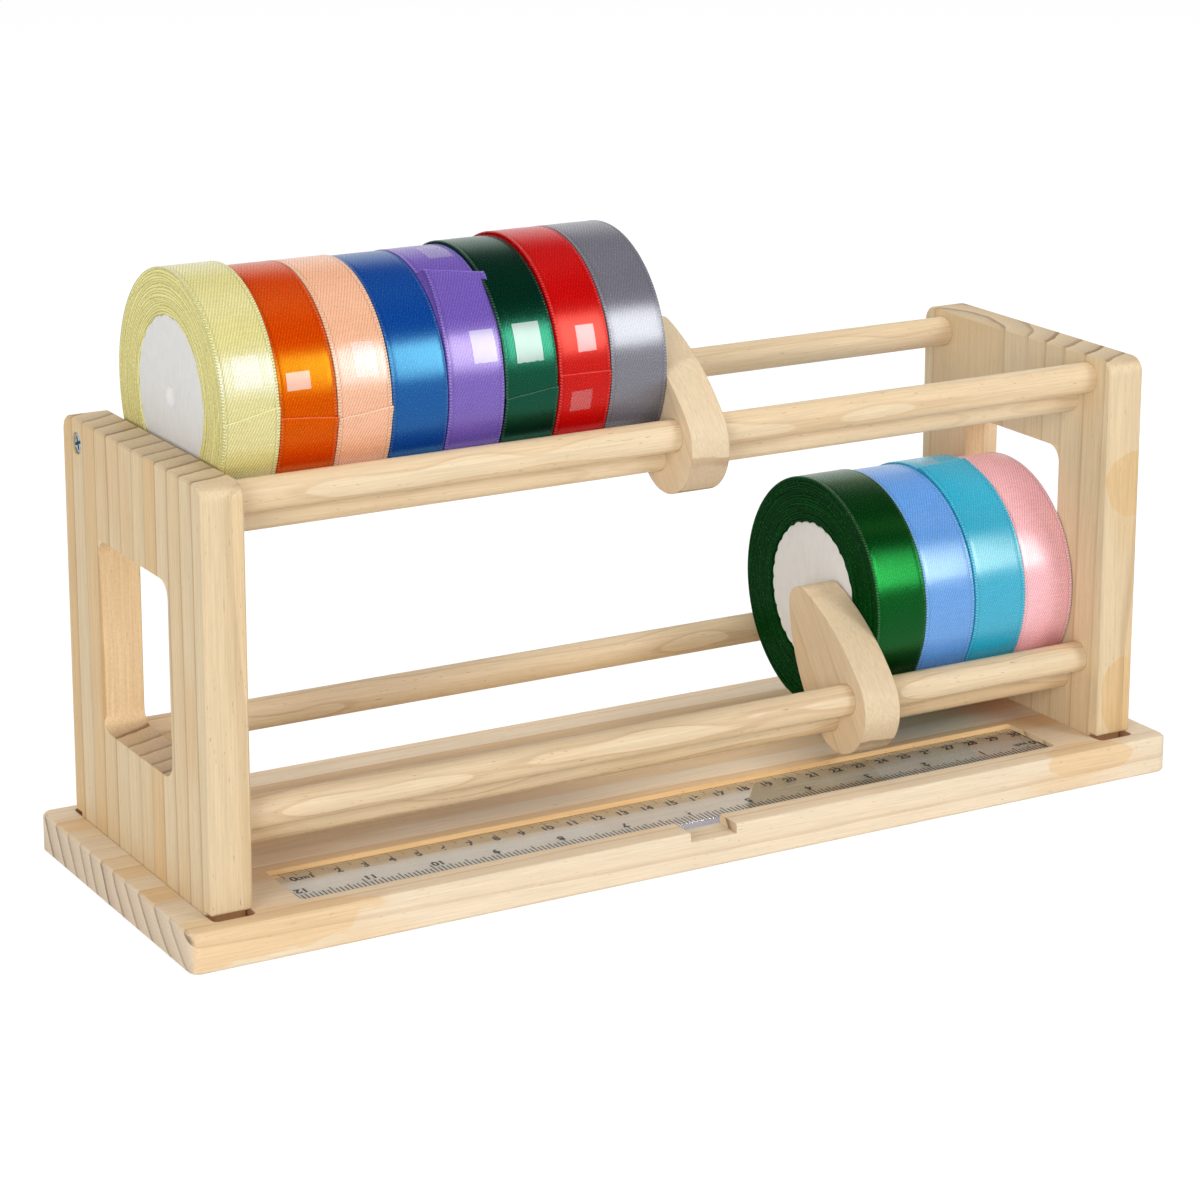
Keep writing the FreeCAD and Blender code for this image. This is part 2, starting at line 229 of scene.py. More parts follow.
def ramp(tree, factor, stops):
    """Grey value along a line of (position, value) stops."""
    made = add(tree, "ValToRGB", {0: factor})
    line = made.color_ramp
    while len(line.elements) < len(stops):
        line.elements.new(0.5)
    for element, (position, value) in zip(line.elements, stops):
        element.position = position
        element.color = (value, value, value, 1)
    return made.outputs[0]


def grey(tree, value):
    """A value as a neutral colour."""
    return add(tree, "CombineColor", {0: value, 1: value, 2: value}).outputs[0]


def speckle(tree, place, scale, detail=2.0, roughness=0.5):
    inputs = {"Vector": place, "Scale": scale, "Detail": detail, "Roughness": roughness}
    return add(tree, "TexNoise", inputs).outputs[0]


def stretch(tree, place, factors):
    return vector_calc(tree, "MULTIPLY", place, factors)


def object_place(tree):
    """Place on a piece, in millimetres."""
    return stretch(tree, add(tree, "TexCoord").outputs["Object"], (1 / MM,) * 3)


def socket_name(key):
    return key.replace("_", " ").title().replace("Ior", "IOR")


def new_material(name, **values):
    """A material and its surface shader, with plain values set on the shader's own sockets."""
    material = bpy.data.materials.new(name)
    material.use_nodes = True
    tree = material.node_tree
    shader = tree.nodes["Principled BSDF"]
    for key, value in values.items():
        socket = shader.inputs[socket_name(key)]
        socket.default_value = (*value, 1) if isinstance(value, (tuple, list)) else value
    return material, tree, shader


def feed(tree, shader, **values):
    """Link values to the shader's own sockets."""
    for key, value in values.items():
        tree.links.new(value, shader.inputs[socket_name(key)])


def relief(tree, shader, height, distance, strength=1.0, under=None):
    """Bump from a height, over another normal where one is given."""
    inputs = {"Height": height, "Distance": distance, "Strength": strength}
    if under is not None:
        inputs["Normal"] = under
    bump = add(tree, "Bump", inputs)
    tree.links.new(bump.outputs[0], shader.inputs["Normal"])


# ---------------------------------------------------------------- mesh helpers
def new_piece(name, mesh, body, place=None):
    """An object that rides on a body of the frame."""
    piece = bpy.data.objects.new(name, mesh)
    bpy.context.scene.collection.objects.link(piece)
    if place is not None:
        piece.matrix_world = place
    bpy.context.view_layer.update()
    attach(piece, body)
    return piece


def grid_faces(builder, rows, closed=False):
    """Quads between neighbouring rows of vertices, all of one length."""
    made = []
    pairs = list(zip(rows, rows[1:]))
    if closed:
        pairs.append((rows[-1], rows[0]))
    for row, following in pairs:
        for index in range(len(row) - 1):
            corners = (row[index], row[index + 1], following[index + 1], following[index])
            made.append(builder.faces.new(corners))
    return made


def finish_mesh(builder, name, smooth_angle=None):
    mesh = bpy.data.meshes.new(name)
    builder.to_mesh(mesh)
    builder.free()
    if smooth_angle is not None:
        mesh.shade_smooth()
        mesh.set_sharp_from_angle(angle=math.radians(smooth_angle))
    return mesh


def dress(node, material):
    """Give a piece of the frame its finish."""
    slots = frame["nodes"][node].data.materials
    slots.clear()
    slots.append(material)


# ---------------------------------------------------------------- pine
LATE_WOOD = (0.55, 0.38, 0.23)
HONEY_WOOD = (0.95, 0.76, 0.50)
END_WOOD = (0.90, 0.88, 0.88)
END_LATE_WOOD = (0.34, 0.25, 0.19)
RESIN_FLECK = (0.42, 0.27, 0.16)
# painted light: brightens the window walls above the board's colour; the fuzz speckle over it is the routed wood's
# own texture
ROUTED_WALL_PAINTED_LIGHT = (1.05, 1.02, 1.00)
ROUTED_MARGIN = 1.9
ROUTED_REACH = 4.0
# painted light: lifts the walls and the floor of the ruler's well, seen through the clear ruler, above the wood's
# own colour
WELL_WALL_PAINTED_LIGHT = (1.10, 1.05, 0.92)
WELL_FLOOR_PAINTED_LIGHT = (1.07, 1.24, 1.46)
# painted shade: darkens the end panels' feet and the base where they sit in its housings
HOUSING_PAINTED_SHADE = (0.80, 0.58, 0.44)
CUT_MARGIN = 2.5
FLOOR_REACH = 0.2
TOP_CLEARANCE = 0.1
SUNK = 0.5
STAIN_UNEVENNESS = 0.6
STAIN_EDGE = (1.22, 1.30)
STAIN_STRENGTH = 0.62
PATCH_STRENGTH = 0.6
LATE_STRENGTH = 0.62
WORN_EDGE = 0.16
FINE_SWAY = 0.16
ROUTED_FUZZ = 1.08
FIBRE_SHADE = (0.91, 1.06)
THREAD_SHADE = (0.965, 1.02)
SEED_DISTANCE = 37
WARMTH_STEP = 1.7
# across a ring, how strong its late wood is on a board's face and on its end
LATE_RAMP = ((0, 0.0), (0.55, 0.04), (0.86, 0.26), (0.94, 1.0), (0.985, 0.9), (1.0, 0.0))
END_RAMP = ((0, 0.0), (0.30, 0.10), (0.76, 0.34), (0.88, 0.95), (0.98, 1.0), (1.0, 0.0))

# piece, colour, turn about X, Y and Z in degrees, pith to middle, ring distance, slow and quick sway,
# strength of late wood, share of honey rings, share of flecks, number of the tree
TIMBER = (
    ("base_board", "base_board", (0.5, -90.6, 0), (111, 172), 9.4, 1.2, 0.0, 0.48, 0.7, 0.5, 3),
    ("left_end_panel", "end_panel", (0.5, 0, 0), (81, -202.7), 9.6, 0.50, 0.0, 1.2, 0.6, 0.6, 5),
    ("right_end_panel", "end_panel", (-1.2, 0.8, 0), (34, -30), 10.5, 1.0, 0.0, 0.7, 0.6, 0.4, 8),
    ("upper_front_dowel", "dowel", (0, -89.1, 0.5), (-6, -42), 4.6, 0.9, 2.2, 0.6, 0.2, 0.7, 11),
    ("upper_middle_dowel", "dowel", (0, -90.9, 0.5), (-14, 36), 5.4, 0.9, 2.2, 0.7, 0.2, 0.7, 13),
    ("upper_back_dowel", "dowel", (0, -89.1, 0.5), (12, -33), 4.6, 0.9, 2.0, 0.6, 0.2, 0.7, 15),
    ("lower_front_dowel", "dowel", (0, -90.4, 0.3), (-9, -47), 4.0, 0.9, 2.8, 0.70, 0.3, 0.7, 17),
    ("lower_middle_dowel", "dowel", (0, -89.1, 0.5), (-20, -30), 4.2, 0.9, 2.4, 0.7, 0.3, 0.7, 19),
    ("lower_back_dowel", "dowel", (0, -90.9, 0.5), (8, -36), 4.6, 0.9, 2.2, 0.7, 0.3, 0.7, 21),
    ("upper_divider", "divider", (36, 2, 0), (12, -150), 14.0, 0.4, 0.0, 0.4, 0.15, 0.25, 31),
    ("lower_divider", "divider", (36, 2, 0), (12, -157), 14.0, 0.4, 0.0, 0.4, 0.15, 0.25, 35),
)
ROUTED_OPENINGS = {"left_end_panel": "left_window", "right_end_panel": "right_window"}
# piece, middle and half-size of a resin stain, in millimetres
STAINS = (
    ("base_board", (162, -66, 11), (21, 12, 6.5)),
    ("base_board", (-194, -66, 14), (66, 12, 13)),
    ("right_end_panel", (183, -57, 28), (11, 9, 17)),
    ("right_end_panel", (183, -57, 111), (11, 9, 14)),
)


def tinted(colour, share):
    return [value * part for value, part in zip(colour, share)]


def middle_of(node):
    """Middle of a piece, in millimetres."""
    low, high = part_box(node)
    return (low + high) / (2 * MM)


def inside_box(tree, place, low, high):
    """1 inside a box, 0 outside it."""
    apart = vector_calc(tree, "SUBTRACT", place, (low + high) / 2)
    apart = vector_calc(tree, "SUBTRACT", vector_calc(tree, "ABSOLUTE", apart), (high - low) / 2)
    split = add(tree, "SeparateXYZ", {0: apart}).outputs
    furthest = calc(tree, "MAXIMUM", calc(tree, "MAXIMUM", split[0], split[1]), split[2])
    return calc(tree, "LESS_THAN", furthest, 0.0)


def routed_walls(tree, place, opening):
    """Where an opening's walls are: inside its stated box, grown to the wood around it."""
    box = next(item["box_m"] for item in frame["record"]["physics"]["openings"] if item["name"] == opening)
    margin = Vector((ROUTED_REACH, ROUTED_MARGIN, ROUTED_MARGIN)) * MM
    return inside_box(tree, place, Vector(box[0]) - margin, Vector(box[1]) + margin)


def under_piece(tree, place, node, bottom, top):
    """Where the wood that a piece is let into is cut, between two heights in metres."""
    low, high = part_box(node)
    margin = Vector((CUT_MARGIN, CUT_MARGIN, 0)) * MM
    low, high = low - margin, high + margin
    return inside_box(tree, place, Vector((low.x, low.y, bottom)), Vector((high.x, high.y, top)))


def stained(tree, place, node):
    """Where resin has stained a piece: uneven patches with a crisp outline."""
    edge = speckle(tree, stretch(tree, place, (1 / MM,) * 3), 0.06, 2.0, 0.5)
    found = 0.0
    for piece, middle, half in STAINS:
        if piece == node:
            apart = vector_calc(tree, "SUBTRACT", place, Vector(middle) * MM)
            apart = stretch(tree, apart, [1 / (MM * size) for size in half])
            reach = vector_calc(tree, "LENGTH", apart)
            reach = calc(tree, "MULTIPLY_ADD", edge, STAIN_UNEVENNESS, reach)
            found = calc(tree, "MAXIMUM", found, spread(tree, reach, *STAIN_EDGE, 1.0, 0.0))
    return found


def cut_tones(node):
    """Piece let into a node, lowest and highest level of the cut wood round it, and its tone: painted light in the
    ruler's well, painted shade in the panels' housings.
    """
    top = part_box("base_board")[1].z - TOP_CLEARANCE * MM
    tones = []
    if node == "base_board":
        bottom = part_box("ruler")[0].z
        floor = bottom + FLOOR_REACH * MM
        # painted light on the ruler's well: its walls above the floor, then its floor
        tones.append(("ruler", floor, top, WELL_WALL_PAINTED_LIGHT))
        tones.append(("ruler", bottom - SUNK * MM, floor, WELL_FLOOR_PAINTED_LIGHT))
    for panel in ROUTED_OPENINGS:
        if node in ("base_board", panel):
            # painted shade in the housing round the panel's foot
            tones.append((panel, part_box(panel)[0].z - SUNK * MM, top, HOUSING_PAINTED_SHADE))
    return tones


def ring_phase(tree, turned, ring, sway, wander):
    """How many rings lie between the pith and a place, with lines that sway along the fibres."""
    along = stretch(tree, turned, (1, 1, 0.10))
    quick = stretch(tree, turned, (1, 1, 0.40))
    across = vector_calc(tree, "LENGTH", stretch(tree, turned, (1, 1, 0)))
    phase = calc(tree, "DIVIDE", across, ring)
    sways = ((along, 0.022, 1.5, sway), (along, 0.16, 2.0, FINE_SWAY), (quick, 0.038, 1.0, wander))
    for place, scale, detail, amount in sways:
        phase = calc(tree, "MULTIPLY_ADD", speckle(tree, place, scale, detail), amount, phase)
    return phase


def pine_material(node, pale, grain, pith, ring, sway, wander, late_share, honey_share, fleck_share, seed):
    """Sawn pine: rings about a pith line, fibres along it, honey-coloured rings and darker end grain.

    grain turns the fibres' direction to +Z; pith is where the piece's middle lies from the pith
    line after that turn and ring the distance between rings, both in millimetres.
    """
    look = bpy.context.scene.rack_pine
    pale = tuple(pale)
    material, tree, shader = new_material(node + "_pine", roughness=0.55, specular_ior_level=0.32)
    coordinates = add(tree, "TexCoord")
    place = coordinates.outputs["Object"]
    middle = middle_of(node)
    middle.rotate(grain)
    offset = (pith[0] - middle.x, pith[1] - middle.y, seed * SEED_DISTANCE)
    inputs = {"Vector": place, "Location": offset, "Rotation": grain, "Scale": (1 / MM,) * 3}
    turned = add(tree, "Mapping", inputs).outputs[0]

    phase = ring_phase(tree, turned, ring, sway, wander)
    growth = calc(tree, "FRACT", phase)
    ring_number = calc(tree, "ADD", calc(tree, "FLOOR", phase), seed)
    vigour, warmth = (
        add(tree, "TexWhiteNoise", {"W": number}, noise_dimensions="1D").outputs[0]
        for number in (ring_number, calc(tree, "MULTIPLY", ring_number, WARMTH_STEP))
    )
    late = product(tree, ramp(tree, growth, LATE_RAMP), spread(tree, vigour, 0, 1, 0.40, 1.0))
    band = product(tree, ramp(tree, growth, END_RAMP), spread(tree, vigour, 0, 1, 0.60, 1.0))
    fibres = speckle(tree, stretch(tree, turned, (1, 1, 0.022)), 1.5, 3.0, 0.62)
    threads = speckle(tree, stretch(tree, turned, (1, 1, 0.05)), 4.5, 2.0, 0.6)
    pores = speckle(tree, stretch(tree, turned, (1, 1, 0.10)), 2.3, 1.0)
    patches = speckle(tree, stretch(tree, turned, (1, 1, 0.35)), 0.028, 2.0)

    grain_line = Vector((0, 0, 1))
    grain_line.rotate(grain.to_matrix().inverted())
    facing = vector_calc(tree, "DOT_PRODUCT", coordinates.outputs["Normal"], grain_line)
    end = spread(tree, calc(tree, "ABSOLUTE", facing), 0.55, 0.9)

    patches = calc(tree, "MULTIPLY", spread(tree, patches, 0.54, 0.66), PATCH_STRENGTH)
    honey = calc(tree, "MAXIMUM", spread(tree, warmth, 0.50, 0.95), patches)
    stains = calc(tree, "MULTIPLY", stained(tree, place, node), STAIN_STRENGTH)
    honey = calc(tree, "MAXIMUM", calc(tree, "MULTIPLY", honey, honey_share), stains)
    colour = blend(tree, honey, pale, tinted(pale, HONEY_WOOD))
    colour = blend(tree, end, colour, tinted(pale, END_WOOD))
    late = calc(tree, "MULTIPLY", late, LATE_STRENGTH * late_share)
    contrast = add(tree, "Mix", {0: end, 2: late, 3: band}).outputs[0]
    late_colour = blend(tree, end, tinted(pale, LATE_WOOD), tinted(pale, END_LATE_WOOD))
    colour = blend(tree, contrast, colour, late_colour)
    fibre_shade = spread(tree, fibres, 0.25, 0.75, *FIBRE_SHADE)
    thread_shade = spread(tree, threads, *NOISE_SPAN, *THREAD_SHADE)
    colour = shaded(tree, colour, product(tree, fibre_shade, thread_shade))
    flecks = calc(tree, "MULTIPLY", spread(tree, pores, 0.735, 0.765), fleck_share)
    colour = blend(tree, flecks, colour, tinted(pale, RESIN_FLECK))
    if node in ROUTED_OPENINGS:
        # window walls: routed fuzz, with painted light brightening them
        fuzz = spread(tree, speckle(tree, turned, 0.9, 3.0, 0.7), 0.35, 0.65)
        routed_fuzz_and_light = blend(tree, fuzz, ROUTED_WALL_PAINTED_LIGHT, [ROUTED_FUZZ * value for value in ROUTED_WALL_PAINTED_LIGHT])
        walls = routed_walls(tree, place, ROUTED_OPENINGS[node])
        colour = blend(tree, walls, colour, routed_fuzz_and_light, "MULTIPLY")
    for piece, bottom, top, tone in cut_tones(node):
        colour = blend(tree, under_piece(tree, place, piece, bottom, top), colour, tone, "MULTIPLY")

    eased = add(tree, "Bevel", {"Radius": look.eased_edge}, samples=4).outputs[0]
    flat = add(tree, "NewGeometry").outputs["Normal"]
    worn = spread(tree, vector_calc(tree, "DOT_PRODUCT", eased, flat), 0.98, 0.75, 0.0, WORN_EDGE)
    colour = blend(tree, worn, colour, tinted(pale, HONEY_WOOD))
    feed(tree, shader, base_color=colour, roughness=spread(tree, fibres, 0.2, 0.8, 0.62, 0.46))
    height = calc(tree, "MULTIPLY_ADD", threads, 0.5, fibres)
    relief(tree, shader, height, look.fibre_depth, 0.8, eased)
    return material


class RACK_OT_timber(bpy.types.Operator):
    """Finish the base board, end panels, dowels and dividers in clear sanded pine"""

    bl_idname = "rack.timber"
    bl_label = "Timber"

    def execute(self, context):
        for node, tone, lean, *figure in TIMBER:
            grain = Euler([math.radians(angle) for angle in lean])
            dress(node, pine_material(node, getattr(context.scene.rack_pine, tone), grain, *figure))
        return {"FINISHED"}


# ---------------------------------------------------------------- ribbon rolls
# name, cut end's angle above the front and how far it slants over the width in degrees, lift of the
# loose end, curl of its right corner and how far the last turn has slid to the right in
# millimetres, scallops round the foam disc
ROLLS = (
    ("pale_yellow", 2.0, 5.2, 0.25, 0.15, 0.0, 19),
    ("orange", -0.5, -2.4, 0.35, 0.90, 0.0, 26),
    ("peach", -1.5, 2.9, 0.25, 0.70, 0.0, 28),
    ("royal_blue", -95.0, 1.0, 0.10, 0.0, 0.0, 30),
    ("lavender", 61.0, -6.0, 1.15, 0.30, 2.6, 30),
    ("dark_green", -3.0, 3.1, 0.25, 0.20, 0.0, 28),
    ("red", 2.0, -0.5, 0.25, 0.30, 0.0, 30),
    ("silver", -120.0, 1.0, 0.10, 0.0, 0.0, 30),
    ("bottle_green", -110.0, 1.0, 0.10, 0.0, 0.0, 30),
    ("cornflower", -100.0, 1.0, 0.10, 0.0, 0.0, 28),
    ("turquoise", 84.0, 2.0, 0.60, 0.20, 0.0, 30),
    ("pink", -125.0, 1.0, 0.10, 0.0, 0.0, 28),
)
# how far back from the cut, in radians, the end is loose, curled, slid and frayed
LOOSE_REACH = 0.13
CURL_REACH = 0.07
SLIDE_REACH = 0.45
FRAYED_REACH = 0.02
# share of the half-width beyond which the right corner curls
CURL_START = 0.3
TURN_STEPS = 240
CROWDING = 1.5
SIDE_RINGS = 26
SIDE_DROP = 0.40
SKIN_DROP = 0.08
SKIN_UNEVENNESS = 0.05
FLOOR_DEPTH = 1.4
FOAM_GAP = 0.12
SCALLOP_FADE = 4
LEAST_STAND_IN = 0.35
TURN_PITCH = 1.3
TURN_DRIFT = 1.5
# mean radius of a side, which gives the length of its weave
WEAVE_RADIUS = 27
FRAY = 0.22
FRAY_PITCH = 2.1
CUT_EDGE = 50
WELD = 0.002
# the foam's lobes: their size and its unevenness as shares of the lobe depth, and how full they are
LOBE_SIZE = 0.75
LOBE_UNEVENNESS = 0.5
LOBE_FULLNESS = 0.7
# the weave: lean of its lines in degrees, hem and selvedge cord in millimetres from the edge; the hem is a line of
# painted shade where a groove runs
TWILL_LEAN = 35
RIB_LEAN = -25
HEM_INSET = 1.55
HEM_WIDTH = 0.30
HEM_GROOVE_PAINTED_SHADE = 0.72
CORD_REACH = (0.75, 0.95)
# painted glints on the selvedge cord's stitches and painted shade between them
CORD_GLINT_LIFT = 0.07
CORD_GLINT = 1.45
CORD_PAINTED_SHADE = 0.72
STITCH_PITCH = 1.05
STITCH_SLANT = 1.9
STITCH_UNEVENNESS = 2.6
# painted light: a lighter line along the cut end, how far from it and how strong
CUT_LIGHT_REACH = (0.45, 0.75)
CUT_LIGHT_STRENGTH = 0.8
# the layered side: distance between the dark lines of painted groove shade, how far they drift and how much
# painted gleam they get
LAYER_DISTANCE = 0.92
LAYER_DRIFT = 2.4
LAYER_DEPTH = 0.10
CREST_GLEAM = (0.15, 0.42)
GLINT_GLOSS = 0.13
GLINT_BRIGHT = 1.6
GLINT_STRENGTH = 0.75


def roll_frame(name):
    """Axis point, outer radius and width of a roll, in metres, as the frame has them."""
    x, y, z = JOINTS[name + "_spin"]["pos_m"]
    low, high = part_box("ribbon_" + name)
    vertices = frame["nodes"]["ribbon_" + name].data.vertices
    radius = max(math.hypot(vertex.co.y - y, vertex.co.z - z) for vertex in vertices)
    return Vector((x, y, z)), radius, high.x - low.x


def scalloped(angle, lobes, look, radius):
    """Edge of a foam disc: shallow rounded lobes of slightly uneven size."""
    spot = Vector((math.floor(angle * lobes / math.tau), radius / MM, lobes))
    size = LOBE_SIZE + LOBE_UNEVENNESS * noise.noise(spot)
    return radius - look.lobe_depth * (1 - size * abs(math.sin(angle * lobes / 2)) ** LOBE_FULLNESS)


def satin_profile(half, radius, look):
    """Across a ribbon: (x, radius) from one selvedge over the face to the other."""
    cord = look.selvedge
    left = [
        (-half, radius - 0.40 * MM),
        (-half, radius - 0.10 * MM),
        (-half + 0.10 * MM, radius),
        (-half + 0.45 * cord, radius + 0.04 * MM),
        (-half + 0.85 * cord, radius - 0.03 * MM),
        (-half + 1.15 * cord, radius - 0.09 * MM),
        (-half + 1.70 * cord, radius - 0.02 * MM),
        (-half * 0.74, radius - 0.01 * MM),
        (-half * 0.55, radius - 0.01 * MM),
        (-half * 0.20, radius + 0.02 * MM),
    ]
    return left + [(-x, r) for x, r in reversed(left)]


def fade(distance, reach):
    return math.exp(-((distance / reach) ** 2))


def loose_lift(x, half, back, lift, curl):
    """How far the last turn stands off near its cut end, most at a curled right corner."""
    corner = max(0, x / half - CURL_START) / (1 - CURL_START)
    return (lift * fade(back, LOOSE_REACH) + curl * corner ** 2 * fade(back, CURL_REACH)) * MM


def side_ring(side, half, radius, start, back, lobes, ribbon_look, core_look, core_radius):
    """One line over a roll's side, from the foam out to the last turn: x, radius, angle, weave."""
    angle = start + back
    scallop = scalloped(angle, lobes, core_look, core_radius) - FOAM_GAP * MM
    outer = radius - (SKIN_DROP + SIDE_DROP) * MM - ribbon_look.thickness
    floor_x = side * (half - FLOOR_DEPTH * MM)
    along = angle * WEAVE_RADIUS
    ring = [(floor_x, scallop, angle, (scallop / MM - FLOOR_DEPTH, along))]
    for index in range(SIDE_RINGS + 1):
        share = (index + 1) / (SIDE_RINGS + 1)
        inner = scallop + (core_radius - scallop) * min(1, share * SCALLOP_FADE)
        r = inner + (outer - inner) * share
        spot = Vector((r / MM * TURN_PITCH, TURN_DRIFT * math.cos(back), TURN_DRIFT * math.sin(back) + side))
        stand_in = LEAST_STAND_IN + (1 - LEAST_STAND_IN) * abs(noise.noise(spot))
        stand_in *= math.sin(math.pi * min(1, share * 1.02))
        ring.append((side * (half - ribbon_look.wander * stand_in), r, angle, (r / MM, along)))
    return ring


def wound_ribbon(name, end_angle, slant, lift, curl, slide, lobes, ribbon_look, core_look):
    """A wound roll as one closed skin: satin face, layered sides and a step at the cut end."""
    _, radius, width = roll_frame(name)
    core_low, core_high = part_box("core_" + name)
    core_radius = (core_high.y - core_low.y) / 2
    half = width / 2
    builder = bmesh.new()
    weave = builder.loops.layers.uv.new("weave")

    def start_angle(x):
        return math.radians(180 - end_angle - slant * x / width)

    def corner(x, r, angle, uv):
        return builder.verts.new((x, r * math.cos(angle), r * math.sin(angle))), uv

    def add_skin(corners, material_index):
        skin = builder.faces.new([vertex for vertex, _ in corners])
        skin.material_index = material_index
        skin.smooth = True
        for loop, (_, uv) in zip(skin.loops, corners):
            loop[weave].uv = uv

    def add_strip(first, second, material_index):
        for index in range(len(first) - 1):
            add_skin((first[index], second[index], second[index + 1], first[index + 1]), material_index)

    rows = []
    for step in range(TURN_STEPS + 1):
        back = math.tau * (step / TURN_STEPS) ** CROWDING
        sides = []
        for side in (-1, 1):
            places = side_ring(
                side, half, radius, start_angle(side * half), back, lobes, ribbon_look, core_look, core_radius
            )
            if step == TURN_STEPS:
                first_ring = rows[0][0] if side < 0 else list(reversed(rows[0][2]))
                sides.append([(vertex, place[3]) for (vertex, _), place in zip(first_ring, places)])
            else:
                sides.append([corner(*place) for place in places])
        spot = Vector((2 * math.cos(back), 2 * math.sin(back), len(name)))
        uneven = SKIN_UNEVENNESS * MM * noise.noise(spot)
        outer = radius - SKIN_DROP * MM - ribbon_look.thickness * back / math.tau + uneven
        slid = slide * MM * fade(back, SLIDE_REACH)
        face = []
        for x, r in satin_profile(half, outer, ribbon_look):
            fray = noise.noise(Vector((x / MM * FRAY_PITCH, len(name), 0.5))) * fade(back, FRAYED_REACH)
            angle = start_angle(x) + back + FRAY * MM / radius * fray
            r += loose_lift(x, half, back, lift, curl)
            face.append(corner(x + slid, r, angle, (x / MM, (start_angle(x) + back) * radius / MM)))
        rows.append((sides[0], face, list(reversed(sides[1]))))
    for row, following in zip(rows, rows[1:]):
        for part, material_index in ((0, 1), (1, 0), (2, 1)):
            add_strip(row[part], following[part], material_index)
        for part in (0, 1):
            shoulder = (row[part][-1], following[part][-1], following[part + 1][0], row[part + 1][0])
            add_skin(shoulder, 1)
        add_skin((row[2][-1], following[2][-1], following[0][0], row[0][0]), 1)
    first, last = rows[0], rows[-1]
    add_strip(last[1], first[1], 0)
    add_skin((first[0][-1], first[1][0], last[1][0]), 1)
    add_skin((first[2][0], last[1][-1], first[1][-1]), 1)
    bmesh.ops.remove_doubles(builder, verts=builder.verts, dist=WELD * MM)
    bmesh.ops.recalc_face_normals(builder, faces=builder.faces)
    return finish_mesh(builder, "satin_" + name, CUT_EDGE)


def weave_lines(tree, across, along, distance, lean):
    """A wave across a ribbon whose lines lean from its length by an angle in degrees."""
    turn = math.tau * MM / distance
    sideways = calc(tree, "MULTIPLY", along, turn * math.sin(math.radians(lean)))
    phase = calc(tree, "MULTIPLY_ADD", across, -turn * math.cos(math.radians(lean)), sideways)
    return calc(tree, "SINE", phase)


def selvedge_stitch(tree, woven, from_middle, along):
    """Slanted stitches of uneven length and strength."""
    loops = speckle(tree, stretch(tree, woven, (1.6, 0.7, 1)), 1.0, 2.0)
    beat = calc(tree, "MULTIPLY", along, math.tau / STITCH_PITCH)
    beat = calc(tree, "MULTIPLY_ADD", loops, STITCH_UNEVENNESS, beat)
    stitch = calc(tree, "SINE", calc(tree, "MULTIPLY_ADD", from_middle, STITCH_SLANT, beat))
    return product(tree, spread(tree, stitch, -0.2, 0.9), spread(tree, loops, 0.3, 0.6, 0.45, 1.0))


